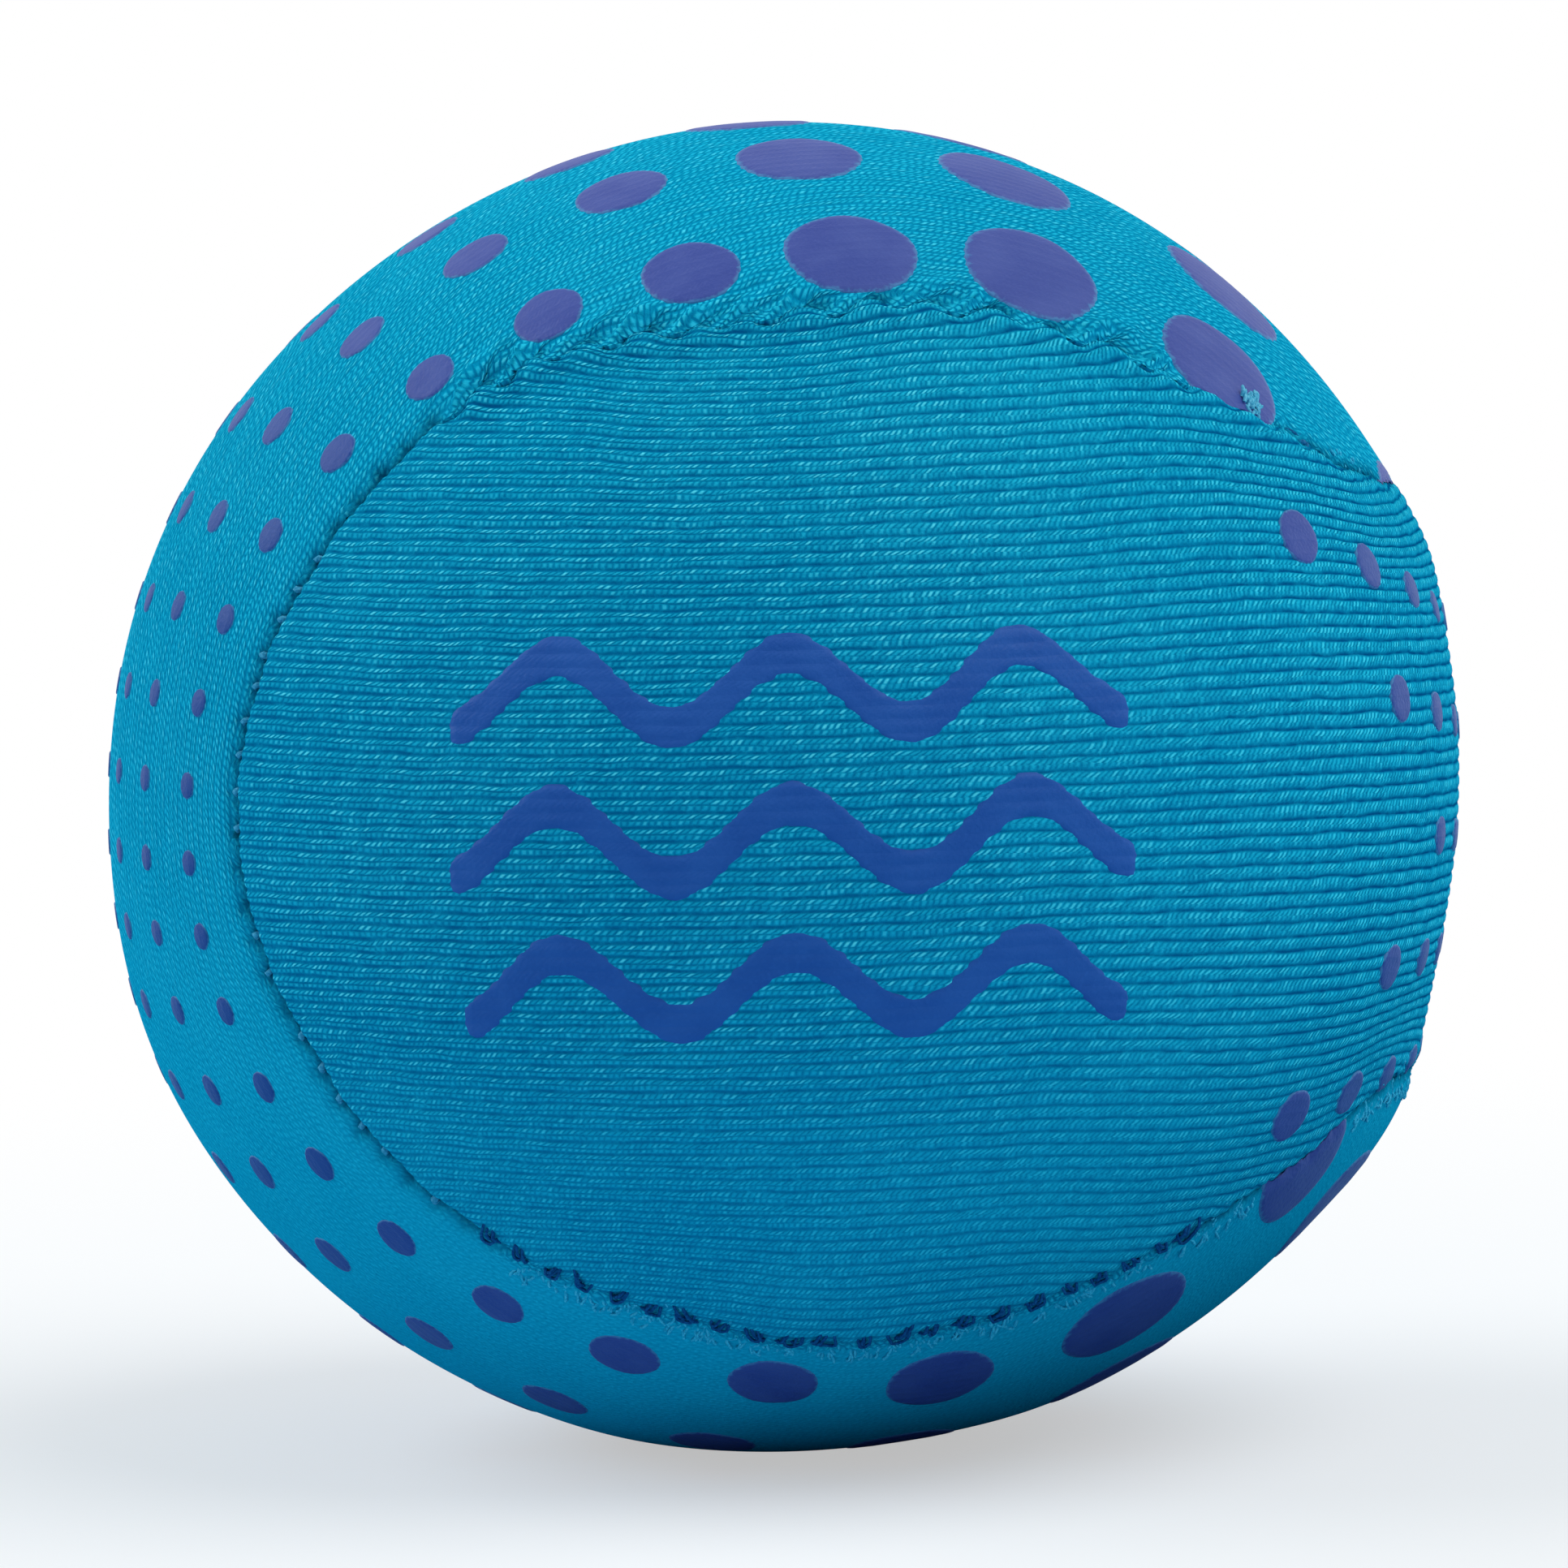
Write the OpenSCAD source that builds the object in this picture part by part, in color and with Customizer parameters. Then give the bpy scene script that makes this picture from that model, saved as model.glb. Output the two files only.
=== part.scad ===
// Soft skimming ball: a gel core sewn into a cover of two matching knitted panels with printed grip dots.
// The origin is the ball's centre, +Z is up and the bare front of the ball faces -Y.
// One panel runs front, right waist, back. The other runs top, left waist, bottom.

/* [Ball] */
// Diameter over the knitted cover
ball_d = 60; // [50:1:75]
// How far the soft ball settles at its resting place
rest_sag = 0.7; // [0.4:0.1:1.2]

/* [Cover] */
// Thickness of the stretched knit
knit_t = 0.8; // [0.6:0.1:1.2]
// Width of a panel across its narrow waist, measured over the surface
waist_w = 26.7; // [22:0.1:32]
// How much the round ends of a panel are squared off
end_square = 0.02; // [0:0.005:0.04]
// Air between the core and the cover
core_air = 0.05; // [0.02:0.01:0.2]

/* [Seam] */
// Width of the groove between the two folded edges
seam_w = 0.8; // [0.6:0.1:1.4]
// Length of cloth turned in along the seam
allowance = 2.4; // [1.5:0.1:4]
// Air around the turned-in cloth in the core's groove
allowance_air = 0.2; // [0.1:0.05:0.5]

/* [Thread] */
// Thickness of the machine sewing thread
thread_d = 0.3; // [0.2:0.05:0.4]
// Depth of the machine stitches below the knit's face
thread_depth = 0.4; // [0.3:0.05:0.8]
// Length of one machine stitch
stitch_l = 2.7; // [2:0.1:4]
// Thickness of the hand sewing thread
hand_thread_d = 0.4; // [0.3:0.05:0.5]
// Length of one hand stitch
hand_stitch_l = 4; // [3:0.5:6]
// Length of seam that is closed by hand
hand_seam_l = 20; // [12:4:40]
// Place of the hand-closed length along the seam, from the end of the front lobe
hand_seam_at = 50; // [30:1:110]
// Diameter of the closing knot
knot_d = 1; // [0.6:0.1:1.2]

/* [Grip dots] */
// Rows of dots from a waist to each end of its panel
dot_rows = 12; // [6:1:14]
// Columns of dots across a panel
dot_columns = 5; // [3:2:7]
// Column spacing at the waist
waist_step = 4.6; // [3:0.1:6]
// Column spacing on the lobes of the top and bottom panel
lobe_step = 9.1; // [6:0.1:12]
// Column spacing on the lobes of the front and back panel
front_lobe_step = 7.6; // [6:0.1:12]
// How far the columns of the front and back panel drop at its waist
waist_drop = 3.1; // [0:0.1:4]
// How far the columns over the top lean to the front
top_lean = 1.1; // [0:0.1:2]
// Spread of the rows over the top
top_spread = 20.1; // [14:0.1:24]
// Spread of the rows everywhere else
row_spread = 17.8; // [14:0.1:24]
// Growth of the row spacing from one row to the next
row_growth = 0.184; // [0.1:0.002:0.25]
// Diameter of the smallest dots
dot_min_d = 1.15; // [0.8:0.05:2]
// Diameter of the largest dots
dot_max_d = 6.3; // [3:0.1:8]
// Growth of the dots over the top
top_dot_growth = 1.75; // [1:0.05:2.5]
// Growth of the dots everywhere else
dot_growth = 1.35; // [1:0.05:2.5]
// Height of a dot above the knit
dot_h = 0.3; // [0.1:0.05:0.5]
// Length of the front that is clear of dots
clear_l = 53; // [30:1:60]
// Height of the front that is clear of dots
clear_h = 35; // [20:1:50]

/* [Grip waves] */
// Number of wavy stripes on the clear front
wave_count = 3; // [1:1:4]
// Spacing of the stripes
wave_step = 6.2; // [4:0.1:8]
// Length of the stripes
wave_l = 30; // [10:1:36]
// Distance from one crest to the next
wave_crest = 10; // [6:1:15]
// Height of the crests above the stripe's middle line
wave_rise = 1.5; // [0.5:0.1:2.5]
// Width of a stripe
wave_w = 2; // [1:0.1:3]
// Height of a stripe above the knit
wave_h = 0.2; // [0.15:0.05:0.4]
// Place of the stripes to the right of the front's middle, over the surface
wave_right = -7; // [-12:0.5:6]

/* [Hidden] */
$fn = 64;

// A panel is named by the sign of the direction from the seam into it
front_back = 1;
top_bottom = -1;

// Radii of the layers and the height of the flat that the ball rests on
ball_r = ball_d / 2;
edge_r = ball_r - knit_t - allowance;
edge_thread_r = edge_r - allowance_air - thread_d / 2;
groove_r = edge_thread_r - thread_d / 2 - allowance_air;
rest_z = rest_sag - ball_r;

// Air under the printed ink, and between the threads and the folded edges
print_air = 0.02;
thread_air = 0.05;

// Angles on the ball are taken from lengths along its surface
degree_per_mm = 180 / (PI * ball_r);
rest_angle = acos(-rest_z / (ball_r + dot_h));

// Seam curve: a closed curve on the ball whose third harmonic sets the waist
third = (1 - sin(waist_w / 2 * degree_per_mm)) / 2;
first = 1 - third;

function unit(v) = v / norm(v);

function seam_dir(t) =
  let (
    u = first * cos(t) + third * cos(3 * t) - end_square * cos(5 * t),
    v = first * sin(t) - third * sin(3 * t) - end_square * sin(5 * t),
    w = 2 * sqrt(first * third) * sin(2 * t)
  )
  unit([-w, -(u + v) / sqrt(2), (u - v) / sqrt(2)]);

// Direction across the seam, pointing into the front and back panel
function seam_side(t) = unit(cross(seam_dir(t), seam_dir(t + 1) - seam_dir(t - 1)));

// Point at radius r, moved across the seam by a length on the ball's surface
function seam_point(t, r, across) =
  r * (seam_dir(t) * cos(across * degree_per_mm) + seam_side(t) * sin(across * degree_per_mm));

// Seam lengths, so that stitches can be stepped along the seam. Its chords stay about 3.3 mm long on any ball
seam_steps = 8 * ceil(ball_d / 5);
seam_start = 45;
seam_times = [for (i = [0:seam_steps]) seam_start - 360 * i / seam_steps];
seam_dirs = [for (t = seam_times) seam_dir(t)];
seam_sides = [for (t = seam_times) seam_side(t)];
seam_chords = [for (i = [0:seam_steps - 1]) ball_r * norm(seam_dirs[i + 1] - seam_dirs[i])];
seam_table = [
  for (i = 0, s = 0; i <= seam_steps; s = s + (i < seam_steps ? seam_chords[i] : 0), i = i + 1)
    [s, seam_times[i]]
];
seam_l = seam_table[seam_steps][0];
function seam_time(s) = lookup(s, seam_table);

// Ball of radius r with a flat at the bottom
module flat_ball(r, flat_z) {
  difference() {
    sphere(r);
    translate([-ball_d, -ball_d, flat_z - 2 * ball_d])
      cube(2 * ball_d);
  }
}

// Cone from the ball's centre over one panel, its edge moved into the panel by inset
cone_reach = 1.8 * ball_r;

module panel_cone(panel, inset) {
  n = seam_steps;
  start = panel == front_back ? seam_start : seam_start + 90;
  rim = [for (i = [0:n - 1]) seam_point(start + 360 * i / n, cone_reach, panel * inset)];
  sides = [for (i = [0:n - 1]) [n, (i + 1) % n, i]];
  cap_a = [for (i = [0:n / 2 - 2]) [i, i + 1, n - i - 1]];
  cap_b = [for (i = [1:n / 2 - 1]) [i, n - i - 1, n - i]];
  faces = concat(sides, cap_a, cap_b);
  outward = panel == top_bottom ? faces : [for (f = faces) [f[2], f[1], f[0]]];
  polyhedron(concat(rim, [[0, 0, 0]]), outward);
}

// Tube or ribbon through rings, each a closed outline of points
module swept(rings) {
  n = len(rings[0]);
  last = len(rings) - 1;
  points = [for (ring = rings) for (p = ring) p];
  walls = [
    for (i = [0:last - 1])
      for (j = [0:n - 1])
        let (a = i * n + j, b = i * n + (j + 1) % n)
          for (f = [[a, b + n, b], [a, a + n, b + n]]) f
  ];
  first_end = [for (j = [1:n - 2]) [0, j, j + 1]];
  last_end = [for (j = [1:n - 2]) [last * n, last * n + j + 1, last * n + j]];
  polyhedron(points, concat(walls, first_end, last_end));
}

// Round thread through the given points, with its rings square to the path
thread_sides = 6;

function thread_rings(path, d) = [
  for (i = [0:len(path) - 1])
    let (
      ahead = path[min(i + 1, len(path) - 1)] - path[max(i - 1, 0)],
      across = unit(cross(path[i], ahead)),
      up = unit(cross(ahead, across))
    )
    [for (j = [0:thread_sides - 1]) path[i] + d / 2 * (cos(60 * j) * across + sin(60 * j) * up)]
];

// Zigzag path along the seam from one length to another, at radius r
function stitch_path(from, to, step, r, swing) =
  let (count = 2 * round((to - from) / step))
  [
    for (i = [0:count])
      let (end = i == 0 || i == count, s = from + (to - from) * i / count)
        seam_point(seam_time(s % seam_l), r, end ? 0 : i % 2 == 0 ? swing : -swing)
  ];

// Direction of a point on a panel, by its angles along the panel from the waist and across it
function panel_dir(panel, along, across) =
  panel == front_back
    ? [cos(along) * cos(across), -sin(along) * cos(across), sin(across)]
    : [-cos(along) * cos(across), -sin(across), sin(along) * cos(across)];

// Length from a point on the ball to the seam, positive inside the panel
function seam_distance(panel, dir) =
  let (
    nearness = [for (s = seam_dirs) s * dir],
    nearest = search(max(nearness), nearness)[0]
  )
  panel * asin(dir * seam_sides[nearest]) / degree_per_mm;

// Row k of the print, on one end of a panel
function row_along(k, spread) =
  let (x = row_growth * (k + 0.5))
  spread * degree_per_mm * (exp(x) - exp(-x)) / 2;

function row_dot_d(k, growth) =
  let (x = row_growth * (k + 0.5))
  min(dot_max_d, dot_min_d * pow((exp(x) + exp(-x)) / 2, growth));

function column_across(panel, end, column, along) =
  let (
    spread = pow(sin(min(along, 90)), 2),
    end_step = panel == front_back ? front_lobe_step : lobe_step,
    drop = panel == front_back ? waist_drop * (1 - spread) : 0,
    lean = panel == top_bottom && end > 0 ? top_lean * spread : 0
  )
  (column * (waist_step + (end_step - waist_step) * spread) - drop + lean) * degree_per_mm;

// Whether a point on the front lies in the oval that is kept clear
function in_clear_front(along, across) =
  pow((along - 90) / clear_l, 2) + pow(across / clear_h, 2) < pow(degree_per_mm / 2, 2);

// Share of a dot's diameter by which its middle may lie past the seam that cuts it
past_seam = 0.35;

// Dots of the rows from one to another on one end of a panel, each as its direction and diameter
function print_dots(panel, end, rows, spread, growth) = [
  for (k = rows)
    let (along = row_along(k, spread), d = row_dot_d(k, growth))
      for (column = [-(dot_columns - 1) / 2:(dot_columns - 1) / 2])
        let (
          across = column_across(panel, end, column, along),
          dir = panel_dir(panel, end * along, across),
          clear = panel == front_back && end > 0 && in_clear_front(along, across)
        )
        if (!clear && along < 170 && seam_distance(panel, dir) > -past_seam * d) [dir, d]
];

waist_rows = [0:5];
front_rows = [0:6];
lobe_rows = [6:dot_rows - 1];
top_dots = print_dots(top_bottom, 1, lobe_rows, top_spread, top_dot_growth);
bottom_dots = print_dots(top_bottom, -1, lobe_rows, row_spread, dot_growth);
left_dots = concat(
  print_dots(top_bottom, 1, waist_rows, top_spread, top_dot_growth),
  print_dots(top_bottom, -1, waist_rows, row_spread, dot_growth)
);
right_dots = concat(
  print_dots(front_back, 1, front_rows, row_spread, dot_growth),
  print_dots(front_back, -1, waist_rows, row_spread, dot_growth)
);
back_dots = print_dots(front_back, -1, lobe_rows, row_spread, dot_growth);

// Dots whose face would reach below the flat under the ball
function on_rest(dot) = acos(-dot[0][2]) < rest_angle + dot[1] / 2 * degree_per_mm;

module aim(dir) {
  rotate([0, acos(dir[2]), atan2(dir[1], dir[0])])
    children();
}

// Round dot that follows the ball, with a bevelled rim
module ball_dot(d) {
  arc_steps = 3;
  base_angle = d / 2 * degree_per_mm;
  face_angle = base_angle - dot_h / 2 * degree_per_mm;
  base = [for (i = [0:arc_steps]) [base_angle * i / arc_steps, ball_r + print_air]];
  face = [for (i = [arc_steps:-1:0]) [face_angle * i / arc_steps, ball_r + dot_h]];
  rotate_extrude()
    polygon([for (p = concat(base, face)) p[1] * [sin(p[0]), cos(p[0])]]);
}

// Dot pressed level with the flat under the ball
module rest_dot(dot) {
  intersection() {
    aim(dot[0])
      cylinder(d = dot[1], h = 2 * ball_r);
    difference() {
      flat_ball(ball_r + dot_h, rest_z);
      flat_ball(ball_r + print_air, rest_z + dot_h - print_air);
    }
  }
}

// Hollow that a pressed dot makes in the knit
module rest_hollow(dot) {
  intersection() {
    aim(dot[0])
      cylinder(d = dot[1] + 2 * print_air, h = 2 * ball_r);
    translate([-ball_d, -ball_d, rest_z + dot_h - 2 * ball_d])
      cube(2 * ball_d);
  }
}

// Printed dots of one panel, cut off where they run into the seam
module dot_print(panel, dots) {
  for (dot = dots) {
    room = seam_distance(panel, dot[0]) - seam_w / 2 - print_air;
    if (on_rest(dot)) {
      rest_dot(dot);
    } else if (room > dot[1] / 2) {
      aim(dot[0])
        ball_dot(dot[1]);
    } else {
      intersection() {
        aim(dot[0])
          ball_dot(dot[1]);
        panel_cone(panel, seam_w / 2 + print_air);
      }
    }
  }
}

// Slice of a flattened ball over one panel, hollow inside
module panel_shell(panel, inset, depth, inner_r) {
  difference() {
    intersection() {
      flat_ball(ball_r - depth, rest_z + depth);
      panel_cone(panel, inset);
    }
    sphere(inner_r);
  }
}

// Knitted panel with its edge turned in along the whole seam
module knit_panel(panel) {
  difference() {
    panel_shell(panel, seam_w / 2, 0, edge_r);
    panel_shell(panel, seam_w / 2 + knit_t, knit_t, edge_r - knit_t);
  }
}

module gel_core() {
  groove_half = seam_w / 2 + knit_t + allowance_air;
  color([0.86, 0.88, 0.84])
    union() {
      sphere(groove_r);
      for (panel = [front_back, top_bottom])
        panel_shell(panel, groove_half, knit_t + core_air, groove_r - knit_t);
    }
}

module front_back_panel() {
  color([0.03, 0.53, 0.7])
    knit_panel(front_back);
}

module top_bottom_panel() {
  color([0.04, 0.57, 0.74])
    difference() {
      knit_panel(top_bottom);
      for (dot = bottom_dots)
        if (on_rest(dot))
          rest_hollow(dot);
    }
}

// Machine stitches between the two folded edges, up to the hand-closed length on both sides
module needle_thread() {
  from = hand_seam_at + hand_seam_l / 2 + hand_thread_d;
  to = seam_l + hand_seam_at - hand_seam_l / 2 - hand_thread_d;
  swing = seam_w / 2 - thread_d / 2 - thread_air;
  color([0.04, 0.22, 0.4])
    swept(thread_rings(stitch_path(from, to, stitch_l, ball_r - thread_depth, swing), thread_d));
}

// Overlock thread along the raw edges inside the core's groove
module edge_thread() {
  swing = seam_w / 2 + knit_t - thread_d;
  color([0.06, 0.3, 0.48])
    swept(thread_rings(stitch_path(0, seam_l - thread_d, stitch_l, edge_thread_r, swing), thread_d));
}

// Hand stitches that close the cover after the core is in, ending in a knot that sits in the groove's mouth
module closing_thread() {
  from = hand_seam_at - hand_seam_l / 2;
  to = hand_seam_at + hand_seam_l / 2;
  r = ball_r - hand_thread_d * 0.75;
  mouth = seam_w / 2 - thread_air;
  knot_r = ball_r + sqrt(pow(knot_d / 2, 2) - pow(min(mouth, knot_d / 2), 2));
  knot = seam_point(seam_time(to + knot_d / 2), knot_r, 0);
  stitches = stitch_path(from, to, hand_stitch_l, r, mouth - hand_thread_d / 2);
  color([0.05, 0.36, 0.52]) {
    swept(thread_rings(concat(stitches, [knot]), hand_thread_d));
    translate(knot)
      sphere(d = knot_d);
  }
}

module top_grip_dots() {
  color([0.2, 0.3, 0.6])
    dot_print(top_bottom, top_dots);
}

module bottom_grip_dots() {
  color([0.2, 0.3, 0.6])
    dot_print(top_bottom, bottom_dots);
}

module left_grip_dots() {
  color([0.2, 0.3, 0.6])
    dot_print(top_bottom, left_dots);
}

module right_grip_dots() {
  color([0.2, 0.3, 0.6])
    dot_print(front_back, right_dots);
}

module back_grip_dots() {
  color([0.2, 0.3, 0.6])
    dot_print(front_back, back_dots);
}

// Point over the front of the ball, by surface lengths to the right and up
function front_point(right, up, r) =
  r * panel_dir(front_back, 90 - right * degree_per_mm, up * degree_per_mm);

// Wavy stripes printed on the clear front
module front_grip_waves() {
  steps = 12 * ceil(wave_l / wave_crest);
  base_r = ball_r + 4 * print_air;
  face_r = ball_r + wave_h;
  color([0.13, 0.28, 0.56])
    for (k = [0:wave_count - 1]) {
      middle = (k - (wave_count - 1) / 2) * wave_step;
      swept([
        for (i = [0:steps])
          let (
            run = wave_l * (i / steps - 0.5),
            right = wave_right + run,
            up = middle + wave_rise * cos(360 * run / wave_crest)
          )
          [
            front_point(right, up - wave_w / 2, base_r),
            front_point(right, up + wave_w / 2, base_r),
            front_point(right, up + wave_w / 2, face_r),
            front_point(right, up - wave_w / 2, face_r)
          ]
      ]);
    }
}

gel_core();
front_back_panel();
top_bottom_panel();
needle_thread();
edge_thread();
closing_thread();
top_grip_dots();
bottom_grip_dots();
left_grip_dots();
right_grip_dots();
back_grip_dots();
front_grip_waves();
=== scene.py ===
import math

import bmesh
import bpy
import numpy as np
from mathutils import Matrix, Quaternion, Vector


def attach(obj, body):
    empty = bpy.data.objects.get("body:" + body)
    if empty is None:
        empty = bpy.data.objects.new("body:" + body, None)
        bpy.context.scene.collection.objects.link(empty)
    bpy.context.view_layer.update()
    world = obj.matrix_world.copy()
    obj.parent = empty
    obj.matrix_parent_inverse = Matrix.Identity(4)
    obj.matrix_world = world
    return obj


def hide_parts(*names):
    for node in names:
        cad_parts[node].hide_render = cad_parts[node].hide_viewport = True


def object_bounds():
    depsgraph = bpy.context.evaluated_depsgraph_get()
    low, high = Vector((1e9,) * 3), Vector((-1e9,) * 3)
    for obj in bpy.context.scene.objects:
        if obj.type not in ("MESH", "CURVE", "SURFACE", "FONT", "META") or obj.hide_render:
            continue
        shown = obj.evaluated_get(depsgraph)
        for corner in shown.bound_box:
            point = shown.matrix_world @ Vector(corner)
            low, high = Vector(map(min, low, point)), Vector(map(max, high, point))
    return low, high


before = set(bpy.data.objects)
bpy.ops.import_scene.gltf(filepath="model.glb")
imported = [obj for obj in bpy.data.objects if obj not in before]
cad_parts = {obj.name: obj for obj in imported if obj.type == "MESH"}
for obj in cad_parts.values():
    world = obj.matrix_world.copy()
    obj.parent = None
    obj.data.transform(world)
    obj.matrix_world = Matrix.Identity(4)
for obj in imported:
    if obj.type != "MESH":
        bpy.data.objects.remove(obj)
cad_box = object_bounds()

# A soft skimming ball: a gel core sewn into two matching knitted panels with printed grip dots.
# Shapes are worked out in millimetres round the ball's centre, and written to the meshes in metres.
MM = 0.001
BALL_R = 30.0
REST_Z = cad_box[0].z / MM
REST_SOFT = 0.35
SEED = 11

# Camera: how the ball is turned to the viewer, in degrees
VIEW_AZIMUTH, VIEW_ELEVATION, VIEW_ROLL = -14.0, 4.4, -1.4
VIEW_DISTANCE = 12 * BALL_R
LENS, SENSOR_W = 185.1, 36.0

# The cover's two panels, by the sign of their side of the seam, and how deep their edges are turned in
FRONT_BACK, TOP_BOTTOM = 1, -1
WAIST_W = 26.7
END_SQUARE = 0.02
FOLD_IN, TURN_IN = 0.45, 2.0

# Knit: pitch and depth of its ribs, the wales, and length of a stroke of yarn along them
WALE_PITCH, WALE_H = 0.6, 0.12
STROKE_L, TOP_STROKE_L = 0.3, 0.4

# How far each panel's wales drop out of line in its waist, and how much they spread towards it
WALE_DROP = {FRONT_BACK: 1.5, TOP_BOTTOM: -0.6}
WALE_SPREAD = {FRONT_BACK: 0.055, TOP_BOTTOM: -0.15}
LOBE_RELIEF = 0.65

# Rows of a panel's mesh to each wale, and columns along the panel
WALE_ROWS, COLUMNS = 3, 470

# Places along the seam are lengths from the left end of the front lobe, over the top.
# The sewn seam strays from its even line as listed here, by place, positive into the front and back panel.
SEAM_SAMPLES = 2000
SEAM_WANDER = [
    (1, -0.9), (7, -0.7), (12, -0.25), (20, -0.5), (25, -0.7), (29, 0.1), (35, 0.15), (41, -0.8),
    (45, -0.7), (50, -0.1), (56, 0.9), (64, 1.8), (74, 1.2), (90, -0.3), (115, 0.6), (140, -0.5),
    (168, 0.5), (195, -0.6), (222, 0.4), (242, 0.6), (251, 1.7), (256, 1.9), (260, 0.9), (266, 0.4),
    (272, -0.5), (282, -1.4), (285, -1.3), (288, -0.5), (292, 0.1), (300, 0.4), (310, 0.4), (315, -0.4),
]

# Machine stitches: their step, how far they stray from it, and how hard and wide they pull the seam down
STITCH_STEP, STITCH_STRAY = 1.5, 0.1
PULL_SIZES, PULL_W = (0.6, 1.1), 0.32

# Gathers, which leave the seam at a slant, and smaller ruffles: least and most step, sizes, width,
# and how many steps are drawn to get all round
GATHER_SLANT, GATHER_PITCH = 1.2, 0.8
GATHER_STEPS, GATHER_SIZES, GATHER_W, GATHER_DRAWS = (1.7, 3.2), (0.6, 1.1), 0.75, 240
RUFFLE_STEPS, RUFFLE_SIZES, RUFFLE_W, RUFFLE_DRAWS = (0.45, 0.9), (0.5, 1.1), 0.2, 600

# Hand stitches that close the seam, and the knot at their end
HAND_SEAM, HAND_STEP = (49.0, 60.0), 2.0
KNOT_AT = 60.5

# Radii of the threads
LOOP_R, BEAD_R, HAND_R, TUFT_R, FIBRE_R = 0.085, 0.15, 0.13, 0.09, 0.065

# Frayed ends: how many, their stretch of the seam, how far from the seam they start, and their lengths
TUFT = (26, (56.7, 57.6), (-0.9, -0.25), (0.2, 0.45))
TUFT_LIFT = 0.25
FRAYED = [
    (700, (252, 297), (-0.95, 0.25), (0.25, 0.6)),
    (170, (245, 264), (-0.9, 0.3), (0.25, 0.6)),
    (70, (52, 66), (-0.6, 0.3), (0.15, 0.35)),
    (220, (112, 150), (-0.6, 0.4), (0.2, 0.55)),
]

# Printed grip dots: layout of their rows and columns, and their sizes
ROW_GROWTH = 0.184
TOP_SPREAD, ROW_SPREAD = 20.1, 17.8
DOT_MIN_D, DOT_MAX_D = 1.15, 6.3
TOP_DOT_GROWTH, DOT_GROWTH = 1.75, 1.35
WAIST_STEP, LOBE_STEP, FRONT_LOBE_STEP = 4.6, 9.1, 7.6
WAIST_DROP, TOP_LEAN = 3.1, 1.1
CLEAR_L, CLEAR_H = 53.0, 35.0
PAST_SEAM = 0.35
LAST_ALONG = math.radians(170)

# Dots under the small size have a plainer profile and leave the cloth as it is.
# The ink thins out from dots of the thick size down to those of the thin one.
SMALL_DOT_D, THICK_INK_D, THIN_INK_D = 2.0, 3.0, 1.3

# A dot's profile from its middle to its rim: share of its radius, and height above the crests of the knit.
# A dot near the seam has more rings and segments, because it follows the seam's edge.
PRINT_H = 0.06
DOT_PROFILE = [(0, PRINT_H), (0.55, PRINT_H), (0.88, 0.055), (0.97, 0.03), (1.0, -0.03), (1.01, -0.14)]
SEAM_DOT_PROFILE = [(r / 12, PRINT_H) for r in range(10)] + DOT_PROFILE[2:]
SEAM_DOT_SEGMENTS = 64

# Printed waves on the clear front: number and step, length, step and rise of the crests, width, shift to the
# right, height over the knit, and fall at the rim
WAVE_COUNT, WAVE_STEP, WAVE_L, WAVE_CREST = 3, 6.2, 30.0, 10.0
WAVE_RISE, WAVE_W, WAVE_RIGHT = 1.5, 2.0, -7.0
WAVE_H, WAVE_RIM_FALL = 0.035, 0.15
WAVE_COLUMNS, WAVE_ROWS = 110, 20

rng = np.random.default_rng(SEED)


def unit(v):
    """Vectors brought to a length of 1."""
    return v / np.linalg.norm(v, axis=-1, keepdims=True)


def smooth_step(low, high, x):
    """0 at the low value and 1 at the high one, eased at both; the low value may be the larger."""
    t = np.clip((x - low) / (high - low), 0, 1)
    return t * t * (3 - 2 * t)


def fade(start, end, angle):
    """0 up to one angle and 1 from another on, where these two are in degrees."""
    return smooth_step(math.radians(start), math.radians(end), angle)


def bell(x, width, middle=0.0):
    """Smooth bump of height 1 round a middle."""
    return np.exp(-((x - middle) / width) ** 2)


def facing(azimuth, elevation):
    """Turn that looks at the ball from an azimuth, 0 in front and 90 at the right, and an elevation."""
    a, e = math.radians(azimuth), math.radians(elevation)
    away = Vector((math.sin(a) * math.cos(e), -math.cos(a) * math.cos(e), math.sin(e)))
    return (-away).to_track_quat("-Z", "Y")


VIEW_TURN = facing(VIEW_AZIMUTH, VIEW_ELEVATION) @ Quaternion((0, 0, 1), math.radians(VIEW_ROLL))


# The seam

def seam_curve(t):
    """Unit directions of the seam at the angles t."""
    third = (1 - math.sin(WAIST_W / 2 / BALL_R)) / 2
    first = 1 - third
    u = first * np.cos(t) + third * np.cos(3 * t) - END_SQUARE * np.cos(5 * t)
    v = first * np.sin(t) - third * np.sin(3 * t) - END_SQUARE * np.sin(5 * t)
    w = 2 * math.sqrt(first * third) * np.sin(2 * t)
    return unit(np.stack([-w, -(u + v) / math.sqrt(2), (u - v) / math.sqrt(2)], axis=-1))


seam_t = math.pi / 4 - 2 * math.pi * np.arange(SEAM_SAMPLES) / SEAM_SAMPLES
SEAM_DIRS = seam_curve(seam_t)
beside_t = 0.01
SEAM_SIDES = unit(np.cross(SEAM_DIRS, seam_curve(seam_t + beside_t) - seam_curve(seam_t - beside_t)))
seam_chords = BALL_R * np.linalg.norm(np.roll(SEAM_DIRS, -1, axis=0) - SEAM_DIRS, axis=1)
SEAM_AT = np.concatenate([[0], np.cumsum(seam_chords)[:-1]])
SEAM_TANGENTS = unit(np.roll(SEAM_DIRS, -1, axis=0) - np.roll(SEAM_DIRS, 1, axis=0))
SEAM_L = float(seam_chords.sum())


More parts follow.
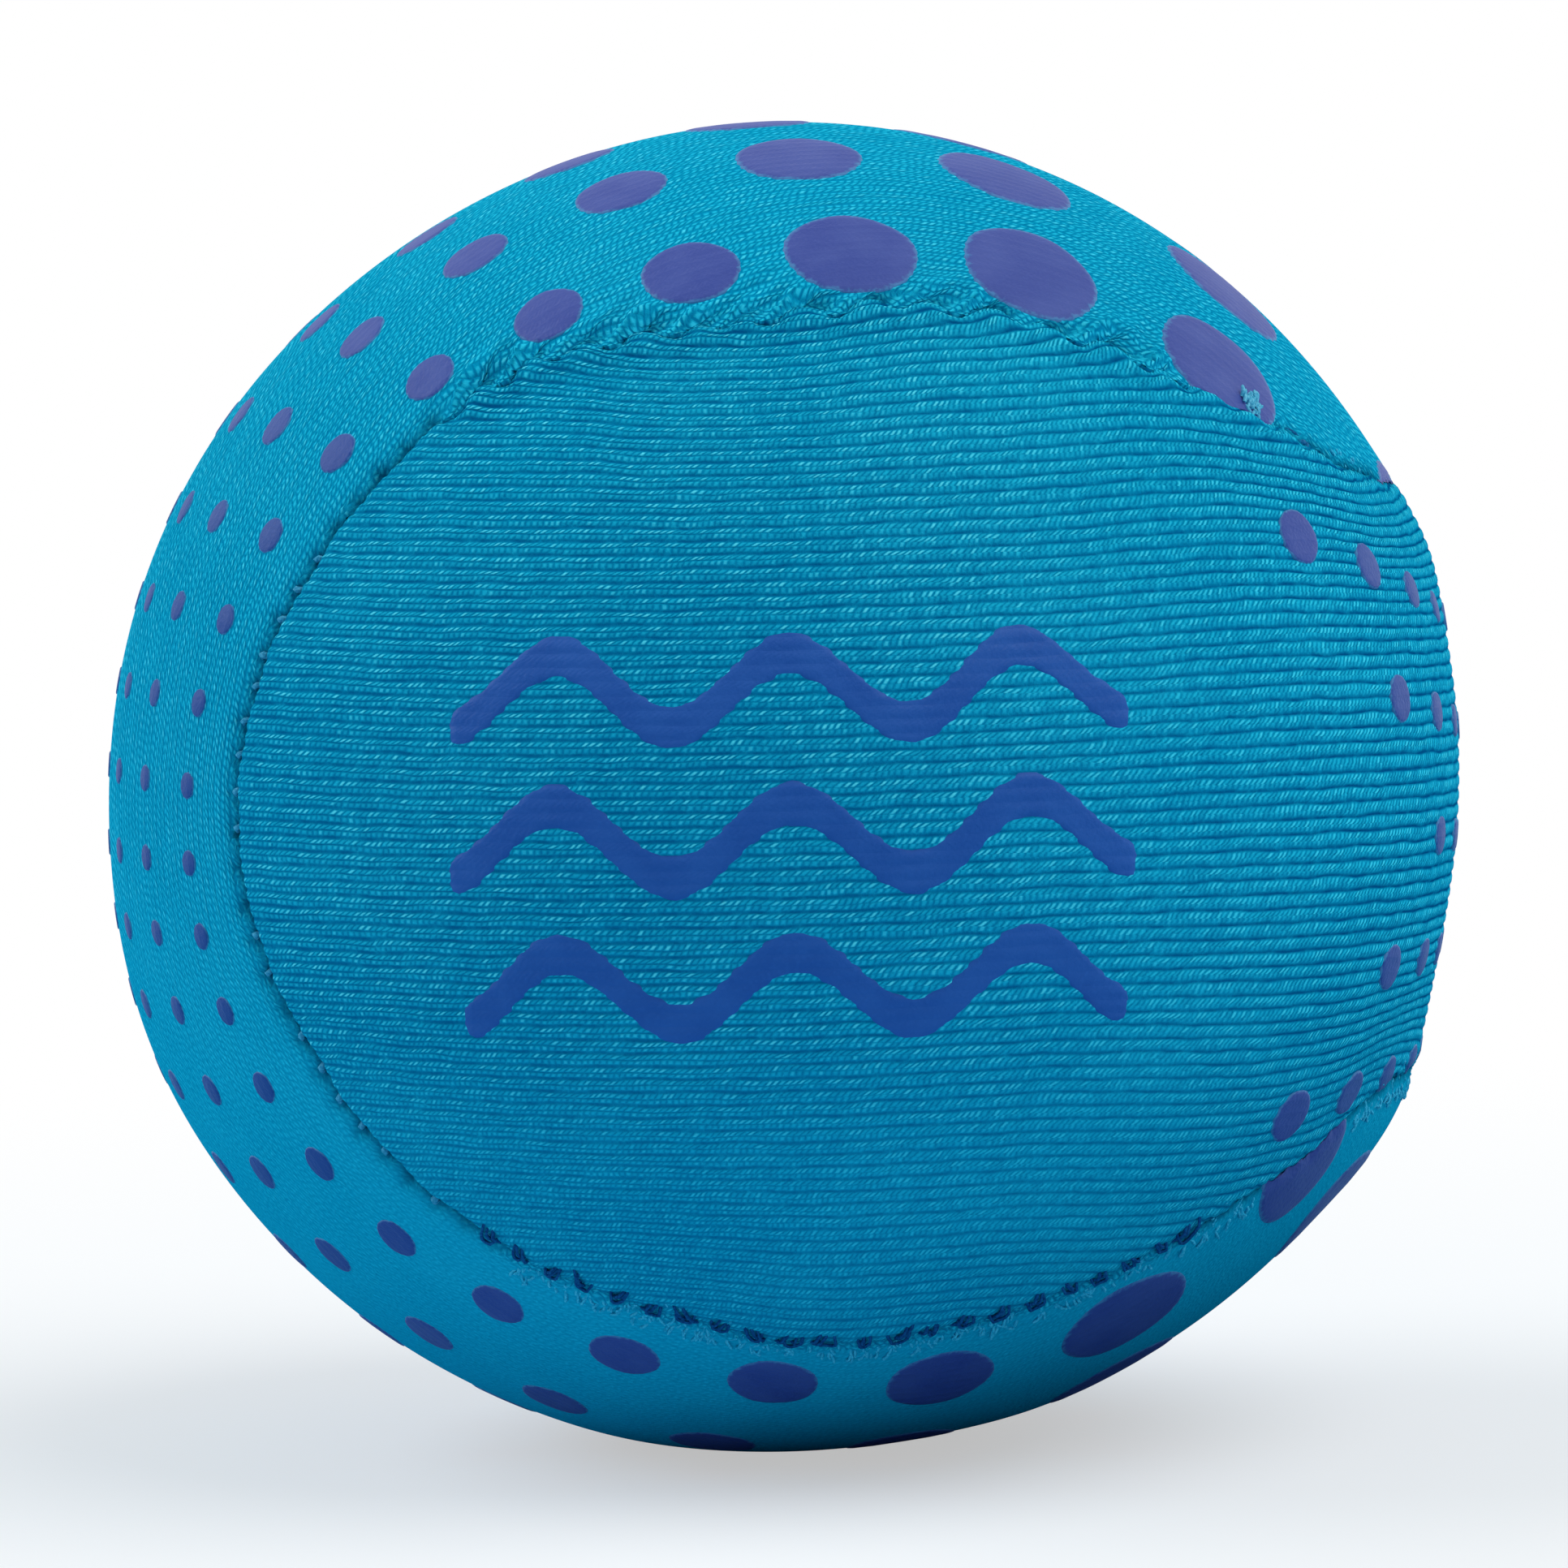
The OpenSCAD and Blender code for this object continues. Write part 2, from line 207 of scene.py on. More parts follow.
def seam_index(places):
    """Seam samples at places along the seam."""
    return np.searchsorted(SEAM_AT, places % SEAM_L) % SEAM_SAMPLES


def shorter_way(lengths):
    """Lengths along the seam, taken the shorter way round it."""
    return np.abs((lengths + SEAM_L / 2) % SEAM_L - SEAM_L / 2)


def seam_stretch(start, end, soft):
    """Mask along the seam: 1 between two places, fading over the soft length at each end."""
    middle, half = (start + end) / 2, (end - start) / 2
    return 1 - smooth_step(half, half + soft, shorter_way(SEAM_AT - middle))


def seam_smooth(values, width):
    """Values along the seam, blurred over a width."""
    away = np.minimum(SEAM_AT, SEAM_L - SEAM_AT)
    kernel = bell(away, width)
    return np.real(np.fft.ifft(np.fft.fft(values) * np.fft.fft(kernel / kernel.sum())))


def seam_bumps(places, sizes, width):
    """Row of bumps along the seam, of the given sizes and places."""
    away = shorter_way(SEAM_AT[:, None] - places)
    return np.sum(sizes * bell(away, width), axis=1)


def uneven_row(steps, draws, end):
    """Places along the seam at uneven steps, up to an end."""
    places = np.cumsum(rng.uniform(*steps, draws))
    return places[places < end]


# Where the seam gapes over its stitches, where it is gathered, where it is frayed, and where it is plain
OPEN_SEAM = seam_stretch(268, 296, 5) + 0.8 * seam_stretch(112, 150, 8)
TUCKED_SEAM = seam_stretch(22, 58, 4) + 0.8 * seam_stretch(176, 214, 6)
FUZZY_SEAM = seam_stretch(247, 266, 3) + seam_stretch(60, 78, 3)
PLAIN_SEAM = (1 - np.maximum(OPEN_SEAM, TUCKED_SEAM)) * (1 - 0.75 * FUZZY_SEAM)

# Uneven rows of gathers and of smaller ruffles, and the stitches that pull the seam down
fold_places = uneven_row(GATHER_STEPS, GATHER_DRAWS, SEAM_L - 1)
TUCKS = seam_bumps(fold_places, rng.uniform(*GATHER_SIZES, len(fold_places)), GATHER_W)
STITCH_PLACES = np.arange(0, SEAM_L - 1, STITCH_STEP)
STITCH_PLACES = STITCH_PLACES + rng.normal(0, STITCH_STRAY, len(STITCH_PLACES))
ruffle_places = uneven_row(RUFFLE_STEPS, RUFFLE_DRAWS, SEAM_L - 0.5)
RUFFLES = seam_bumps(ruffle_places, rng.uniform(*RUFFLE_SIZES, len(ruffle_places)), RUFFLE_W)
PULLS = seam_bumps(STITCH_PLACES, rng.uniform(*PULL_SIZES, len(STITCH_PLACES)), PULL_W)

# The sewn line strays from the even seam and ripples; the panels' edges stand off it, or lap over it below 0
wander_places, wander_shifts = zip(*SEAM_WANDER)
WANDER = seam_smooth(np.interp(SEAM_AT, wander_places, wander_shifts, period=SEAM_L), 1.2)
seam_angle = 2 * math.pi * SEAM_AT / SEAM_L
RIPPLE = 0.07 * np.sin(61 * seam_angle + 1) + 0.05 * np.sin(113 * seam_angle)
RIPPLE += 0.65 * TUCKED_SEAM * (TUCKS - 0.5) + 0.3 * FUZZY_SEAM * (RUFFLES - 0.5)
SEWN = WANDER + RIPPLE
EDGE_GAP = 0.02 * PLAIN_SEAM - 0.12 * TUCKED_SEAM - 0.04 * OPEN_SEAM


def nearest_seam(dirs):
    """Nearest seam sample to each direction, and the length from the even seam.

    Lengths are positive on the front and back panel.
    """
    chunk = 4096
    index = np.empty(len(dirs), int)
    samples = SEAM_DIRS.T.astype(np.float32)
    for start in range(0, len(dirs), chunk):
        part = slice(start, start + chunk)
        index[part] = np.argmax(dirs[part].astype(np.float32) @ samples, axis=1)
    side = np.sum(dirs * SEAM_SIDES[index], axis=1)
    return index, BALL_R * np.arcsin(np.clip(side, -1, 1))


def seam_place(dirs, index):
    """Places along the seam abreast of directions, from their nearest samples."""
    return SEAM_AT[index] + BALL_R * np.sum(dirs * SEAM_TANGENTS[index], axis=1)


def gather_place(dirs, index, room):
    """Places along the seam where the slanting gathers through some directions start."""
    return seam_place(dirs, index) - GATHER_SLANT * room


def gathers_at(dirs, index, room, heights):
    """Heights of a row of gathers: 0 in a pocket and about 1 on a crest."""
    return np.interp(gather_place(dirs, index, room), SEAM_AT, heights, period=SEAM_L)


def seam_room(dirs, panel):
    """Nearest seam sample, and the room from the sewn seam into a panel."""
    index, across = nearest_seam(dirs)
    return index, panel * (across - SEWN[index])


def move_across(dirs, index, shift):
    """Directions moved across the seam by a length, positive into the front and back panel."""
    return unit(dirs + SEAM_SIDES[index] * (shift / BALL_R)[:, None])


# The panels' own coordinates: along from the waist, across from the middle line

PANEL_AXES = {
    FRONT_BACK: np.array([[1, 0, 0], [0, -1, 0], [0, 0, 1]], float),
    TOP_BOTTOM: np.array([[-1, 0, 0], [0, 0, 1], [0, -1, 0]], float),
}


def panel_dirs(panel, along, across):
    """Directions at angles along and across a panel."""
    waist, lobe, side = PANEL_AXES[panel]
    ring = np.cos(along)[..., None] * waist + np.sin(along)[..., None] * lobe
    return np.cos(across)[..., None] * ring + np.sin(across)[..., None] * side


def panel_angles(panel, dirs):
    """Angles along and across a panel of some directions."""
    x, y, z = (dirs @ PANEL_AXES[panel].T).T
    return np.arctan2(y, x), np.arcsin(np.clip(z, -1, 1))


def waist_share(along):
    """How near a place is to the waist: 1 in it, and 0 from the middle of a lobe on."""
    return np.cos(np.minimum(np.abs(along), math.pi / 2)) ** 2


def wale_spread(panel, along):
    """How far apart the wales lie towards the waist, as a share of their pitch on the lobes."""
    if panel == FRONT_BACK:
        return 1 + WALE_SPREAD[panel] * fade(85, 55, np.abs(along))
    return 1 + WALE_SPREAD[panel] * waist_share(along)


def wale_drop(panel, along):
    """How far the wales run out of line near the waist."""
    return -WALE_DROP[panel] * waist_share(along)


def wale_place(panel, dirs):
    """Place across the wales, in millimetres of relaxed cloth, and the length along them."""
    along, across = panel_angles(panel, dirs)
    return (across * BALL_R - wale_drop(panel, along)) / wale_spread(panel, along), along * BALL_R


def wale_relief(panel, dirs):
    """How plain the wales stand out, from 0 to 1."""
    along, across = panel_angles(panel, dirs)
    if panel == FRONT_BACK:
        plain = (1 - LOBE_RELIEF) * fade(80, 35, np.abs(along))
        return LOBE_RELIEF + plain - 0.2 * fade(-10, -30, across)
    return LOBE_RELIEF - 0.53 * fade(10, -50, along)


def wale_parting(panel, dirs):
    """How far each wale parts into its two strands, from 0 to 1."""
    along, _ = panel_angles(panel, dirs)
    if panel == FRONT_BACK:
        return 0.1 + 0.9 * fade(65, 125, np.abs(along))
    return np.ones(len(dirs))


def wale_height(place):
    """Height of the knit below its crests: round wales with narrow valleys between them."""
    return -WALE_H * (1 - np.abs(np.sin(math.pi * place / WALE_PITCH)) ** 0.6)


# Layout of the printed dots

def row_along(row, spread):
    """Angle from the waist to a row of dots; the rows lie closest at the waist."""
    return spread / BALL_R * math.sinh(ROW_GROWTH * (row + 0.5))


def row_dot_d(row, growth):
    """Diameter of a row's dots, which grow away from the waist."""
    return min(DOT_MAX_D, DOT_MIN_D * math.cosh(ROW_GROWTH * (row + 0.5)) ** growth)


def column_across(panel, end, column, along):
    """Place of a column across a panel: the front's drops at the waist, and the top's leans forward."""
    spread = math.sin(min(along, math.pi / 2)) ** 2
    if panel == FRONT_BACK:
        end_step, shift = FRONT_LOBE_STEP, -WAIST_DROP * (1 - spread)
    else:
        end_step, shift = LOBE_STEP, TOP_LEAN * spread if end > 0 else 0
    return (column * (WAIST_STEP + (end_step - WAIST_STEP) * spread) + shift) / BALL_R


def in_clear_front(along, across):
    """Whether a place on the front lies in the oval that is kept clear of dots."""
    off = (along - math.pi / 2) * BALL_R
    return (2 * off / CLEAR_L) ** 2 + (2 * across * BALL_R / CLEAR_H) ** 2 < 1


def print_dots(panel, end, rows, spread, growth):
    """Direction and diameter of each dot of the given rows, on one end of a panel."""
    dots = []
    for row in rows:
        along, d = row_along(row, spread), row_dot_d(row, growth)
        for column in range(-2, 3):
            across = column_across(panel, end, column, along)
            if panel == FRONT_BACK and end > 0 and in_clear_front(along, across):
                continue
            direction = panel_dirs(panel, np.array([end * along]), np.array([across]))
            room = seam_room(direction, panel)[1][0]
            if along < LAST_ALONG and room > -PAST_SEAM * d:
                dots.append((direction[0], d))
    return dots


WAIST_ROWS, FRONT_ROWS, LOBE_ROWS = range(0, 6), range(0, 7), range(6, 12)
top_style = (TOP_SPREAD, TOP_DOT_GROWTH)
row_style = (ROW_SPREAD, DOT_GROWTH)
DOT_PRINTS = {
    "top": (TOP_BOTTOM, print_dots(TOP_BOTTOM, 1, LOBE_ROWS, *top_style)),
    "bottom": (TOP_BOTTOM, print_dots(TOP_BOTTOM, -1, LOBE_ROWS, *row_style)),
    "left": (TOP_BOTTOM, print_dots(TOP_BOTTOM, 1, WAIST_ROWS, *top_style)
             + print_dots(TOP_BOTTOM, -1, WAIST_ROWS, *row_style)),
    "right": (FRONT_BACK, print_dots(FRONT_BACK, 1, FRONT_ROWS, *row_style)
              + print_dots(FRONT_BACK, -1, WAIST_ROWS, *row_style)),
    "back": (FRONT_BACK, print_dots(FRONT_BACK, -1, LOBE_ROWS, *row_style)),
}


def printed(dirs, panel):
    """How far a printed dot holds the cloth smooth: 1 under it and 0 away from it."""
    margin = 0.7
    held = np.zeros(len(dirs))
    for on_panel, dots in DOT_PRINTS.values():
        for direction, d in dots:
            if on_panel == panel and d > SMALL_DOT_D:
                away = BALL_R * np.arccos(np.clip(dirs @ direction, -1, 1))
                held = np.maximum(held, 1 - smooth_step(d / 2, d / 2 + margin, away))
    return held


# The shape that the cover takes over its core

# Each lump of the outline: its angle round it, its rise, and its width, with the angles in degrees
OUTLINE_LUMPS = [
    (20, 0.3, 17), (20.5, 0.4, 6), (85, -0.42, 42), (125, -0.5, 30), (204, 0.5, 17),
    (228, 0.22, 16), (280, -0.7, 8), (318, 0.3, 14), (332, 0.85, 10),
]


def lumps(dirs):
    """Swellings and hollows of the soft ball, placed round its outline as the camera sees it."""
    height = np.zeros(len(dirs))
    for angle, rise, width in OUTLINE_LUMPS:
        a = math.radians(angle)
        centre = np.array(VIEW_TURN @ Vector((math.cos(a), math.sin(a), 0)))
        height += rise * np.exp(-2 * (1 - dirs @ centre) / math.radians(width) ** 2)
    return height


def rest_flat(points):
    """Points pressed flat where the ball rests."""
    out = points.copy()
    out[:, 2] = REST_Z + REST_SOFT * np.logaddexp(0, (points[:, 2] - REST_Z) / REST_SOFT)
    return out


def cover_points(dirs, panel, lift):
    """Points on a panel, with the lift above the crests of its knit."""
    index, room = seam_room(dirs, panel)
    room = np.maximum(room, 0)
    gaping, tucked, plain = OPEN_SEAM[index], TUCKED_SEAM[index], PLAIN_SEAM[index]
    if panel == FRONT_BACK:
        reach, depth = 0.45, 0.06 + 0.24 * plain
        swell = (0.05 + 0.2 * tucked) * bell(room, 0.45, 0.55)
    else:
        reach, depth = 0.7 + 0.7 * plain, 0.06 + plain * (0.2 + 0.5 * PULLS[index])
        gathers = (gathers_at(dirs, index, room, TUCKS) - 0.45) * (0.65 + 0.35 * smooth_step(0, 0.5, room))
        gathers = 0.95 * tucked * gathers * np.exp(-((room / 2.2) ** 1.5))
        ruffles = (gathers_at(dirs, index, room, RUFFLES) - 0.5) * bell(room, 0.5, 0.25)
        swell = (gathers + (0.25 * plain + 0.3 * gaping) * ruffles) * (1 - printed(dirs, panel))
    fold = np.clip(1 - room / reach, 0, 1)
    radius = BALL_R + lumps(dirs) + swell - depth * fold ** 2 + lift
    return rest_flat(dirs * radius[:, None])


# Meshes and pieces

def mesh_of(bm, name):
    """Mesh of a bmesh, which is given up."""
    mesh = bpy.data.meshes.new(name)
    bm.to_mesh(mesh)
    bm.free()
    return mesh


def new_object(name, data):
    """Object in the scene for a mesh, a curve, a lamp or a camera."""
    thing = bpy.data.objects.new(name, data)
    bpy.context.scene.collection.objects.link(thing)
    return thing


def add_piece(name, mesh, material, slot, *nodes):
    """Puts a finished mesh into the scene, riding on the ball and standing for its CAD nodes."""
    piece = new_object(name, mesh)
    mesh.materials.append(material)
    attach(piece, "root")
    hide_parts(*nodes)
    return piece


def finish_piece(name, bm, material, slot, *nodes):
    """Makes a smooth piece of a bmesh in millimetres."""
    bmesh.ops.scale(bm, vec=(MM, MM, MM), verts=bm.verts)
    mesh = mesh_of(bm, name)
    mesh.shade_smooth()
    return add_piece(name, mesh, material, slot, *nodes)


def set_points(verts, points):
    for vert, point in zip(verts, points):
        vert.co = point


def new_shape(*layers):
    """Empty bmesh whose vertices carry the named numbers for a material to read."""
    bm = bmesh.new()
    for name in layers:
        bm.verts.layers.float.new(name)
    return bm


def set_layers(bm, verts, **layers):
    """Gives vertices their numbers, by the names of the layers."""
    for name, values in layers.items():
        layer = bm.verts.layers.float[name]
        for vert, value in zip(verts, values):
            vert[layer] = value


def face_out(bm):
    """Turns the faces outwards on a sheet that faces one way all over."""
    bm.normal_update()
    bm.faces.ensure_lookup_table()
    face = bm.faces[len(bm.faces) // 2]
    if face.normal.dot(face.calc_center_median()) < 0:
        bmesh.ops.reverse_faces(bm, faces=bm.faces)


def edge_shift(panel, dirs, index, room):
    """How far the cloth is drawn across the seam beside it, positive into the front and back panel."""
    shift = WANDER[index] * bell(room, 6) + RIPPLE[index] * bell(room, 0.8)
    shift = shift + panel * EDGE_GAP[index] * bell(room, 1.2)
    if panel == FRONT_BACK:
        return shift
    gathers = gathers_at(dirs, index, room, TUCKS)
    pulled = 0.8 * (gathers - 0.4) * bell(room, 1.2, 1.0) * np.clip(room / 0.4, 0, 1)
    gathered = np.maximum(TUCKED_SEAM[index], 0.3 * OPEN_SEAM[index])
    return shift + gathered * pulled * (1 - printed(dirs, panel))


def edge_tuck(panel, dirs, index, room):
    """How far the cloth beside the seam lies in tucks, whose strands run away from the seam."""
    if panel == FRONT_BACK:
        return np.zeros(len(dirs))
    gathers = gathers_at(dirs, index, room, TUCKS)
    tuck = TUCKED_SEAM[index] * (1 - smooth_step(0.4 + 0.5 * gathers, 0.6 + 0.75 * gathers, room))
    tuck = tuck + 0.8 * OPEN_SEAM[index] * (1 - smooth_step(0.4, 1.1, room))
    return tuck + 0.6 * PLAIN_SEAM[index] * (1 - smooth_step(0.15, 0.6, room))


def edge_groove_shade(panel, dirs, index, room):
    """How much painted shade the cloth beside the seam gets, from 0 to 1, in its groove, pockets and
    hollows.
    """
    gaping, plain, fuzzy, pulls = OPEN_SEAM[index], PLAIN_SEAM[index], FUZZY_SEAM[index], PULLS[index]
    if panel == FRONT_BACK:
        groove = (0.8 * plain + 0.35 * fuzzy) * bell(room, 0.12)
        groove = groove + 0.2 * gaping * pulls * bell(room, 0.3)
    else:
        pocket = smooth_step(0.4, 0.05, gathers_at(dirs, index, room, TUCKS))
        hollow = 1 - np.minimum(gathers_at(dirs, index, room, RUFFLES), 1)
        groove = plain * (0.4 + 0.6 * pulls) * bell(room, 0.24 + 0.42 * pulls)
        groove = groove + 0.9 * TUCKED_SEAM[index] * pocket * bell(room, 0.6, 0.1)
        groove = groove + (0.2 * gaping * pulls + fuzzy * (0.3 + 0.4 * hollow)) * bell(room, 0.4)
        groove = groove + (0.35 * plain + 0.3 * gaping) * hollow * bell(room, 0.45, 0.2)
    return np.minimum(groove, 1)


def knit_panel(name, panel, material, node):
    """Panel of knit on a grid whose rows follow the wales, cut and turned in along the seam."""
    edge_along, _ = panel_angles(panel, SEAM_DIRS)
    edge_place, _ = wale_place(panel, SEAM_DIRS)
    past_seam = 1.005
    reach_along = np.abs(edge_along).max() * past_seam
    row_step = WALE_PITCH / WALE_ROWS
    half_rows = int(math.ceil(np.abs(edge_place).max() / row_step)) + 1

    bm = new_shape("wale", "course", "relief", "parting", "groove", "gather", "drawn", "tuck")
    bmesh.ops.create_grid(bm, x_segments=COLUMNS, y_segments=2 * half_rows, size=1)
    flat = np.array([v.co[:2] for v in bm.verts])
    along = flat[:, 0] * reach_along
    place = flat[:, 1] * half_rows * row_step
    across = (place * wale_spread(panel, along) + wale_drop(panel, along)) / BALL_R
    dirs = panel_dirs(panel, along, across)
    index, distance = nearest_seam(dirs)
    inside = panel * distance > 0

    set_layers(bm, bm.verts, wale=np.arange(len(dirs)))
    bm.verts.index_update()
    outside_faces = [f for f in bm.faces if not any(inside[v.index] for v in f.verts)]
    bmesh.ops.delete(bm, geom=outside_faces, context="FACES")
    number = bm.verts.layers.float["wale"]
    kept = [round(v[number]) for v in bm.verts]
    inside, dirs, index, distance = inside[kept], dirs[kept], index[kept], distance[kept]

    dirs[~inside] = move_across(dirs, index, -distance)[~inside]
    distance[~inside] = 0
    room = np.abs(distance)
    place, length = wale_place(panel, dirs)
    relief = np.maximum(wale_relief(panel, dirs), 0.95 * TUCKED_SEAM[index] * bell(room, 3.5))
    tuck = edge_tuck(panel, dirs, index, room)
    if panel == FRONT_BACK:
        ribs, stroke_l = 1 - 0.45 * smooth_step(1.4, 0.5, np.abs(length) / BALL_R), STROKE_L
    else:
        ribs, stroke_l = 0.5, TOP_STROKE_L
    moved = move_across(dirs, index, edge_shift(panel, dirs, index, room))

    verts = list(bm.verts)
    set_points(verts, cover_points(moved, panel, ribs * wale_height(place) * relief * (1 - tuck)))
    set_layers(
        bm, verts,
        wale=place / WALE_PITCH,
        course=length / stroke_l,
        relief=relief,
        parting=wale_parting(panel, dirs),
        groove=edge_groove_shade(panel, dirs, index, room),
        gather=gather_place(dirs, index, room) / GATHER_PITCH,
        drawn=math.hypot(1, GATHER_SLANT) * room / STROKE_L,
        tuck=tuck,
    )
    face_out(bm)

    rim = [e for e in bm.edges if e.is_boundary]
    for depth in (FOLD_IN, TURN_IN):
        made = bmesh.ops.extrude_edge_only(bm, edges=rim)["geom"]
        rim = [g for g in made if isinstance(g, bmesh.types.BMEdge) and g.is_boundary]
        turned = {v for e in rim for v in e.verts}
        for v in turned:
            v.co *= 1 - depth / BALL_R
    return finish_piece(name, bm, material, "knit", node)


# Printed dots and stripes

def printed_disc(segments, profile):
    """Round disc of unit radius, spun from its profile of radii and heights."""
    bm = bmesh.new()
    chain = [bm.verts.new((r, 0, h)) for r, h in profile]
    edges = [bm.edges.new(pair) for pair in zip(chain, chain[1:])]
    bmesh.ops.spin(
        bm, geom=chain + edges, cent=(0, 0, 0), axis=(0, 0, 1),
        angle=2 * math.pi, steps=segments, use_merge=True,
    )
    bmesh.ops.remove_doubles(bm, verts=bm.verts, dist=1e-5)
    bmesh.ops.recalc_face_normals(bm, faces=bm.faces)
    return mesh_of(bm, "disc")


def dot_piece(name, panel, dots, material, node):
    """Raised dots that follow a panel's cloth and stop at the seam."""
    bm = new_shape("rim", "thin", "wale", "course")
    for direction, d in dots:
        profile, segments = DOT_PROFILE, 10 + 4 * round(d)
        if d < SMALL_DOT_D:
            profile = DOT_PROFILE[:1] + DOT_PROFILE[2:]
        elif seam_room(direction[None], panel)[1][0] < d / 2 + 1:
            profile, segments = SEAM_DOT_PROFILE, SEAM_DOT_SEGMENTS
        disc = printed_disc(segments, profile)
        before = len(bm.verts)
        bm.from_mesh(disc)
        bpy.data.meshes.remove(disc)
        verts = list(bm.verts)[before:]
        local = np.array([v.co[:] for v in verts])
        angle = np.arctan2(local[:, 1], local[:, 0])
        reach = np.hypot(local[:, 0], local[:, 1])
        phase = rng.uniform(0, 2 * math.pi, 2)
        wobble = 1 + 0.02 * np.sin(2 * angle + phase[0]) + 0.012 * np.sin(5 * angle + phase[1])
        east = unit(np.cross(direction, PANEL_AXES[panel][2]))
        north = np.cross(east, direction)
        spread = (reach * wobble * d / 2 / BALL_R)[:, None]
        ring = np.cos(angle)[:, None] * east + np.sin(angle)[:, None] * north
        dirs = np.cos(spread) * direction + np.sin(spread) * ring
        index, room = seam_room(dirs, panel)
        overrun = np.maximum(EDGE_GAP[index] - room, 0)
        dirs = move_across(dirs, index, panel * overrun)
        set_points(verts, cover_points(dirs, panel, local[:, 2]))
        place, length = wale_place(panel, dirs)
        thin = np.full(len(verts), smooth_step(THICK_INK_D, THIN_INK_D, d))
        set_layers(bm, verts, rim=reach, thin=thin, wale=place / WALE_PITCH, course=length / STROKE_L)
    bmesh.ops.dissolve_degenerate(bm, dist=1e-4, edges=bm.edges)
    return finish_piece(name, bm, material, "grip_ink", node)


def wave_piece(name, material, node):
    """Raised wavy stripes with round ends and slightly uneven edges."""
    bm = new_shape("rim", "wale", "course")
    for k in range(WAVE_COUNT):
        before = len(bm.verts)
        bmesh.ops.create_grid(bm, x_segments=WAVE_COLUMNS, y_segments=WAVE_ROWS, size=1)
        bm.verts.ensure_lookup_table()
        verts = [bm.verts[i] for i in range(before, len(bm.verts))]
        flat = np.array([v.co[:2] for v in verts])
        run = flat[:, 0] * WAVE_L / 2
        past = np.clip(np.abs(run) - (WAVE_L - WAVE_W) / 2, 0, None) / (WAVE_W / 2)
        half = WAVE_W / 2 * np.sqrt(np.clip(1 - past ** 2, 0.0004, 1))
        half = half + 0.025 * np.sin(7.3 * run + k) + 0.02 * np.sin(17.9 * run + 2 * k)
        middle = (k - (WAVE_COUNT - 1) / 2) * WAVE_STEP + WAVE_RISE * np.cos(2 * math.pi * run / WAVE_CREST)
        up = middle + flat[:, 1] * np.maximum(half, 0.01)
        dirs = panel_dirs(FRONT_BACK, math.pi / 2 - (WAVE_RIGHT + run) / BALL_R, up / BALL_R)
        place, length = wale_place(FRONT_BACK, dirs)
        edge = np.maximum(np.abs(flat[:, 1]), np.abs(flat[:, 0]) ** 40)
        lift = WAVE_H + 0.5 * wale_height(place) * wale_relief(FRONT_BACK, dirs) - WAVE_RIM_FALL * edge ** 8
        set_points(verts, cover_points(dirs, FRONT_BACK, lift))
        set_layers(bm, verts, rim=edge, wale=place / WALE_PITCH, course=length / STROKE_L)
    face_out(bm)
    return finish_piece(name, bm, material, "grip_ink", node)


# Threads

def thread_mesh(name, paths, radius):
    """Mesh of round threads of one radius through lists of points in millimetres."""
    data = bpy.data.curves.new(name, "CURVE")
    data.dimensions = "3D"
    data.bevel_depth = radius * MM
    data.bevel_resolution = 0
    data.use_fill_caps = True
    data.resolution_u = 2
    for path in paths:
        spline = data.splines.new("NURBS")
        spline.points.add(len(path) - 1)
        for point, place in zip(spline.points, path):
            point.co = (*(np.asarray(place) * MM), 1)
        spline.order_u = 3
        spline.use_endpoint_u = True
    holder = new_object(name + "_path", data)
    graph = bpy.context.evaluated_depsgraph_get()
    mesh = bpy.data.meshes.new_from_object(holder.evaluated_get(graph))
    bpy.data.objects.remove(holder)
    mesh.materials.clear()
    return mesh


def thread_piece(name, node, *strands):
    """Piece of threads, from pairs of a mesh and its material."""
    bm = bmesh.new()
    for number, (mesh, _) in enumerate(strands):
        before = len(bm.faces)
        bm.from_mesh(mesh)
        bpy.data.meshes.remove(mesh)
        for face in list(bm.faces)[before:]:
            face.material_index = number
    bmesh.ops.scale(bm, vec=(1 / MM, 1 / MM, 1 / MM), verts=bm.verts)
    piece = finish_piece(name, bm, strands[0][1], "thread", node)
    for _, material in strands[1:]:
        piece.data.materials.append(material)
    return piece


def seam_points(places, across, depth):
    """Points by places along the seam, lengths across it and depths below the cover."""
    index = seam_index(places)
    dirs = move_across(SEAM_DIRS[index], index, SEWN[index] + across)
    radius = BALL_R + lumps(dirs) - depth
    return rest_flat(dirs * radius[:, None])


def bare_loops():
    """Loops of the sewing thread that lie bare where the seam gapes: a hook, and strokes across it."""
    paths = []
    for at in STITCH_PLACES:
        if rng.uniform() > 1.5 * OPEN_SEAM[seam_index(at)]:
            continue
        size = rng.uniform(0.75, 1.2)
        uneven = rng.normal(0, 0.08, (2, 6))
        flip = rng.choice([-1, 1, 1])
        places = at + flip * size * (np.array([-0.45, -0.42, -0.25, 0.05, 0.3, 0.34]) + uneven[0])
        across = 0.08 + size * (np.array([0.6, 0.36, -0.1, -0.3, 0.0, 0.5]) + uneven[1])
        paths.append(seam_points(places, across, np.array([0.35, -0.28, -0.16, -0.08, -0.26, 0.35])))
        for start in rng.uniform(-0.5, 0.3, 2):
            turn = rng.normal(0, 0.12, 4)
            places = at + flip * size * (start + np.array([-0.2, 0.05, 0.3, 0.5]) - turn)
            across = 0.1 + size * (np.array([0.65, 0.35, 0.0, -0.35]) + turn)
            paths.append(seam_points(places, across, np.array([0.3, -0.28, -0.14, 0.4])))
    return paths


